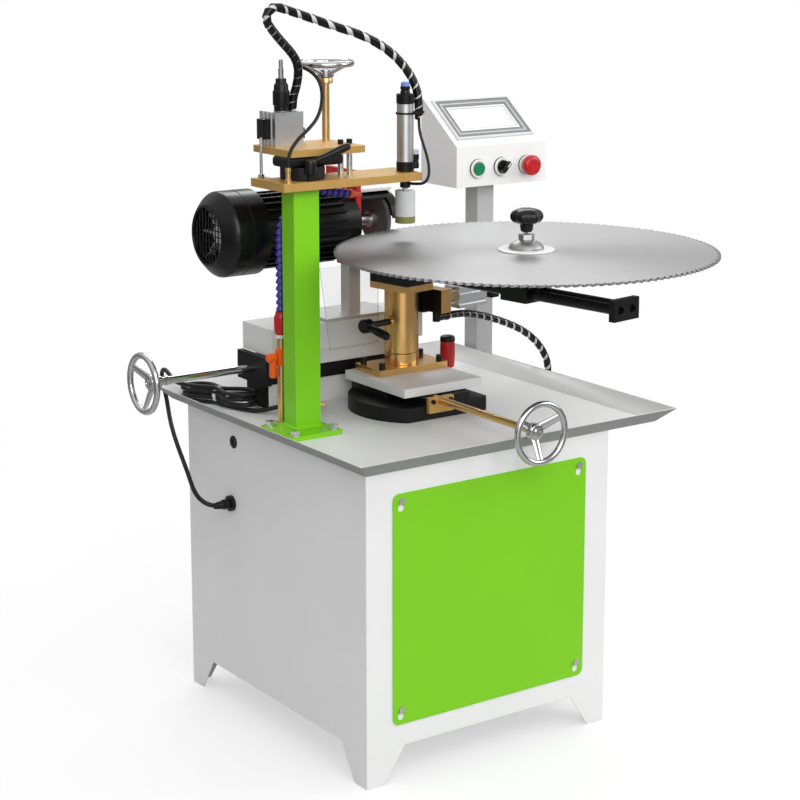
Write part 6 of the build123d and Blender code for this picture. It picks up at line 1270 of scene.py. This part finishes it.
# %% Routes of the air hoses
wrap_route = [
    (-147.5, 86.5, 1073), (-147.5, 86.5, 1092), (-141, 82, 1116), (-139.5, 78.5, 1140), (-147, 75, 1160),
    (-162, 71.5, 1176), (-180, 67, 1191), (-198, 63, 1208), (-213.8, 60, 1226.4), (-211.9, 57.5, 1241.8),
    (-198.9, 55, 1250.5), (-172, 52, 1242.5), (-132, 46.5, 1229), (-91, 41, 1215), (-51, 36, 1203),
    (-17, 30, 1188), (13, 25, 1169), (36, 19, 1146), (52, 12, 1120), (HOSE_X, 5, 1090), (HOSE_X, 5, 1056),
]
branch_root = Vector((-143.25, 76.75, 1150))
branch_way = Vector((0.5, -0.8, -0.33)).normalized()
thin_route = [
    tuple(branch_root + branch_way * 12), tuple(branch_root + branch_way * 30), (-120, 38, 1119),
    (-127, 24, 1091), (-147, 7, 1067), (-172, -5, 1051), (-199, -12, 1036), (-220, -14, 1012),
    (-220, -14, 990),
]
collar_way = Vector((0.42, -0.91, 0)).normalized()
collar_port = Vector((*HOLD, 943)) + collar_way * 9
drop_route = [
    (HOSE_X, 5, 1056), (HOSE_X, 5, 1040), (59.5, 0, 1023), (60.5, -8.5, 1006), (60.5, -18, 989),
    (58.5, -26.5, 972), (54, -32, 956.5), (47.5, -29.5, 945.5), tuple(collar_port + collar_way * 15),
    tuple(collar_port),
]
feed_route = [
    swung(90, -30, 680), swung(112, -30, 680), (227, 84, 677), (261, 86.5, 669), (297, 89.5, 657),
    (332, 93, 643), (366, 97, 627), (399, 102, 605), (428, 108, 577), (446, 113, 544), (445, 117, 509),
    (424, 120, 481), (390, 123, 465), (353, 124.5, 459), (304, 124, 462), (270, 124, 462),
]
print("feed hose", round(run_length(line_of(feed_route)) / MM), "mm long")

# %% [markdown]
# ## The power cord's hank
# The cord leaves a gland low on the left wall, climbs to the tray and is put away there: three flat
# figure loops, tied at their waist, with the plug beside them. Loops of a real hank differ a little
# in length and width, so each has its own.

# %% The hank of power cord
CORD_DIAMETER = 8.0
HANK_MIDDLE = Vector((-206, 254, 536.3))
HANK_ALONG = Vector((0.25, -0.968, 0)).normalized()
hank_side = Vector((-HANK_ALONG.y, HANK_ALONG.x, 0))
HANK_LONG, HANK_WIDE, HANK_WAIST, HANK_STEP = 84.0, 27.0, 7.0, 9.0
LOOP_LENGTHS, LOOP_WIDTHS = (1.0, 0.93, 1.04), (1.0, 1.06, 0.9)
LOBE = ((0.24, 0.62), (0.52, 1.0), (0.8, 0.92), (1.0, 0.45))


def in_hank(u, v, up):
    return tuple(HANK_MIDDLE + HANK_ALONG * u + hank_side * v + Vector((0, 0, up)))


def hank_points():
    loops = len(LOOP_LENGTHS)
    lead = ((-0.72, -0.98), (-0.46, -0.95), (-0.24, -0.62))
    points = [in_hank(u * HANK_LONG, v * HANK_WIDE, loops * HANK_STEP) for u, v in lead]
    for loop in range(loops):
        long, wide = HANK_LONG * LOOP_LENGTHS[loop], HANK_WIDE * LOOP_WIDTHS[loop]
        up = (loops - loop) * HANK_STEP
        half = [(0.0, HANK_WAIST)] + [(u * long, v * wide) for u, v in LOBE]
        points += [in_hank(u, -v, up) for u, v in half]
        back = half[::-1] + [(-u, v) for u, v in half[1:]]
        points += [in_hank(u, v, up - HANK_STEP * (long - u) / (2 * long)) for u, v in back]
        points += [in_hank(-u, -v, up - HANK_STEP) for u, v in half[:0:-1]]
    return points + [in_hank(0, -HANK_WAIST, 0), in_hank(0.24 * HANK_LONG, -0.5 * HANK_WIDE, 0)]


hank = hank_points()
print("hank points", len(hank))

# %% The whole power cord
GLAND = (134, 383)
rise = [
    (-270, *GLAND), (-286, *GLAND), (-300.5, 138.5, 388), (-309, 150, 396.5), (-310, 165.5, 406.5),
    (-306, 184, 417), (-299, 208, 428.5), (-291, 237, 441), (-282, 269, 454), (-273, 300, 467.5),
    (-264, 328, 481), (-255, 353, 494), (-246.5, 374, 507.5), (-241.5, 389.5, 523), (-241, 399, 540),
    (-243, 402, 557.5), (-246, 394.5, 572), (-249, 379, 578.5), (-251, 361.5, 575), (-252.5, 344, 568),
]
tail = [
    (-205, 198, 536.3), (-199.5, 178, 536.3), (-192, 160, 536.39), (-182, 145, 538.46), (-170, 134, 542.51),
    (-157, 127, 545.3), (-145, 122.6, 545.3),
]
run_in = Vector(hank[0]) - (Vector(hank[1]) - Vector(hank[0])).normalized() * 20
power_route = rise + [tuple(run_in)] + hank + tail
print("power cord", round(run_length(line_of(power_route)) / MM), "mm long")

# %% [markdown]
# ## Spiral wrap
# The air hoses lie in a black spiral wrap, a flat strip wound round the bundle with gaps between its
# turns, where the pale hoses show. The strip is worked out along the hose's own smooth line.

# %% Spiral wrap along a hose
def between(windings, share):
    """The pitch and width at a share of the length, from a table of them."""
    for (a, *low), (b, *high) in zip(windings, windings[1:]):
        if share <= b:
            return [x + (y - x) * (share - a) / (b - a) for x, y in zip(low, high)]
    return windings[-1][1:]


STEPS_A_TURN = 20


def wound_strip(route, radius, thick, windings):
    """A flat strip wound along a route; windings lists shares of its length, pitches and widths."""
    points = line_of(route)
    total = run_length(points) / MM
    side = (points[1] - points[0]).orthogonal().normalized()
    vertices, faces = [], []
    walked, i, step = 0.0, 0, 0
    goal = windings[0][0] * total
    while goal <= windings[-1][0] * total:
        pitch, width = between(windings, goal / total)
        while i < len(points) - 2 and walked + (points[i + 1] - points[i]).length / MM < goal:
            walked += (points[i + 1] - points[i]).length / MM
            i += 1
        way = (points[i + 1] - points[i]).normalized()
        centre = points[i] + way * (goal - walked) * MM
        side = (side - way * side.dot(way)).normalized()
        out = Matrix.Rotation(2 * math.pi * step / STEPS_A_TURN, 3, way) @ side
        corners = ((radius, -0.5), (radius + thick, -0.5), (radius + thick, 0.5), (radius, 0.5))
        vertices += [centre + (out * reach + way * shift * width) * MM for reach, shift in corners]
        if step:
            base = 4 * step
            pairs = [(a, (a + 1) % 4) for a in range(4)]
            faces += [(base - 4 + a, base - 4 + b, base + b, base + a) for a, b in pairs]
        goal += pitch / STEPS_A_TURN
        step += 1
    faces += [(3, 2, 1, 0), tuple(range(4 * step - 4, 4 * step))]
    mesh = bpy.data.meshes.new("wound strip")
    mesh.from_pydata([tuple(v) for v in vertices], [], faces)
    obj = on_bench(bpy.data.objects.new("wound strip", mesh))
    edit()
    face_outward()
    return dress(obj, wrap_plastic)


print("wrap helper ready")

# %% Laying the hoses
def lay_hose(name, route, diameter, finish, node, *nodes, far_end="object", lay="hanging", pieces=()):
    obj = nurbs(name, route, diameter / 2)
    obj.data.materials.append(finish)
    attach(obj, "stand")
    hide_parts(node, *nodes)
    length = run_length(line_of(route))
    print(name, "is", round(length / MM), "mm long")
    return obj


WRAP_WINDINGS = [
    (0.0, 14, 12.5), (0.3, 15, 13), (0.42, 24, 17), (0.55, 36, 23), (0.7, 34, 22), (0.84, 22, 17),
    (1.0, 16, 14),
]
FEED_WINDINGS = [(0.01, 15, 12), (0.2, 20, 13), (0.45, 25, 16), (0.99, 21, 15)]
wrap_strip = wound_strip(wrap_route, 6.0, 1.5, WRAP_WINDINGS)
hand_over(wrap_strip, "wrap_hose_spiral", body="stand", slot="black_rubber")
lay_hose("wrap_hose_bundle", wrap_route, 12.2, inner_hose, "wrap_hose", pieces=[wrap_strip])
lay_hose("thin_hose_black", thin_route, 6.0, rubber, "thin_hose")
lay_hose("drop_hose_black", drop_route, 5.0, rubber, "drop_hose")
feed_strip = wound_strip(feed_route, 5.2, 1.6, FEED_WINDINGS)
hand_over(feed_strip, "feed_hose_spiral", body="stand", slot="black_rubber")
lay_hose("feed_hose_bundle", feed_route, 10.6, inner_hose, "feed_hose", pieces=[feed_strip])

# %% [markdown]
# ## Plug, tie and strain relief
# The plug is moulded on to the cord, so its neck tapers with it. A band holds the hank at its waist,
# and a rubber sleeve keeps the cord from bending sharply where it leaves the cabinet.

# %% Power cord with its plug
PLUG_WAY = Vector((0.939, -0.344, 0)).normalized()
PLUG = [(4.4, -2), (5.2, 0), (7, 4), (7, 11), (9, 12.4), (12, 14), (13, 17), (13, 44), (12, 51), (10.6, 54)]
PIN, PIN_ASIDE = [(2.4, 0), (2.4, 16.6), (1.6, 18)], 6.5
plug_at = Vector(tail[-1])
plug_face = plug_at + PLUG_WAY * PLUG[-1][1]
across = Vector((-PLUG_WAY.y, PLUG_WAY.x, 0))
neck = turned(rubber, PLUG, tuple(plug_at), PLUG_WAY)
pin_feet = [tuple(plug_face + across * aside) for aside in (-PIN_ASIDE, PIN_ASIDE)]
pins = [turned(rod_brass, PIN, foot, PLUG_WAY, 20) for foot in pin_feet]
plug = hand_over(join(neck, *pins), "power_plug_black", "power_plug")
TIE_BAND, TIE_NARROW = [(15.2, -4), (16.2, -4), (16.2, 4), (15.2, 4)], (0.86, 1.0, 1.0)
tie = squeeze(hoop(pale_plastic, TIE_BAND, sides=40), TIE_NARROW)
settle(tie, tuple(HANK_MIDDLE + Vector((0, 0, 12.0))), HANK_ALONG)
hand_over(tie, "hank_tie", body="stand", slot="black_rubber")
RELIEF = [
    (8.2, 0), (8.2, 5), (7.2, 6), (7.2, 9), (7.6, 9.6), (6.6, 14), (6.9, 14.6), (5.9, 19), (6.1, 19.6),
    (5.2, 24),
]
relief = turned(rubber, RELIEF, (-264, *GLAND), (-1, 0, 0), 32)
hand_over(relief, "cord_strain_relief", body="stand", slot="black_rubber")
lay_hose("power_cord_black", power_route, CORD_DIAMETER, rubber, "power_cord", "power_hank", far_end="plug",
         lay="coiled", pieces=[plug, tie, relief])
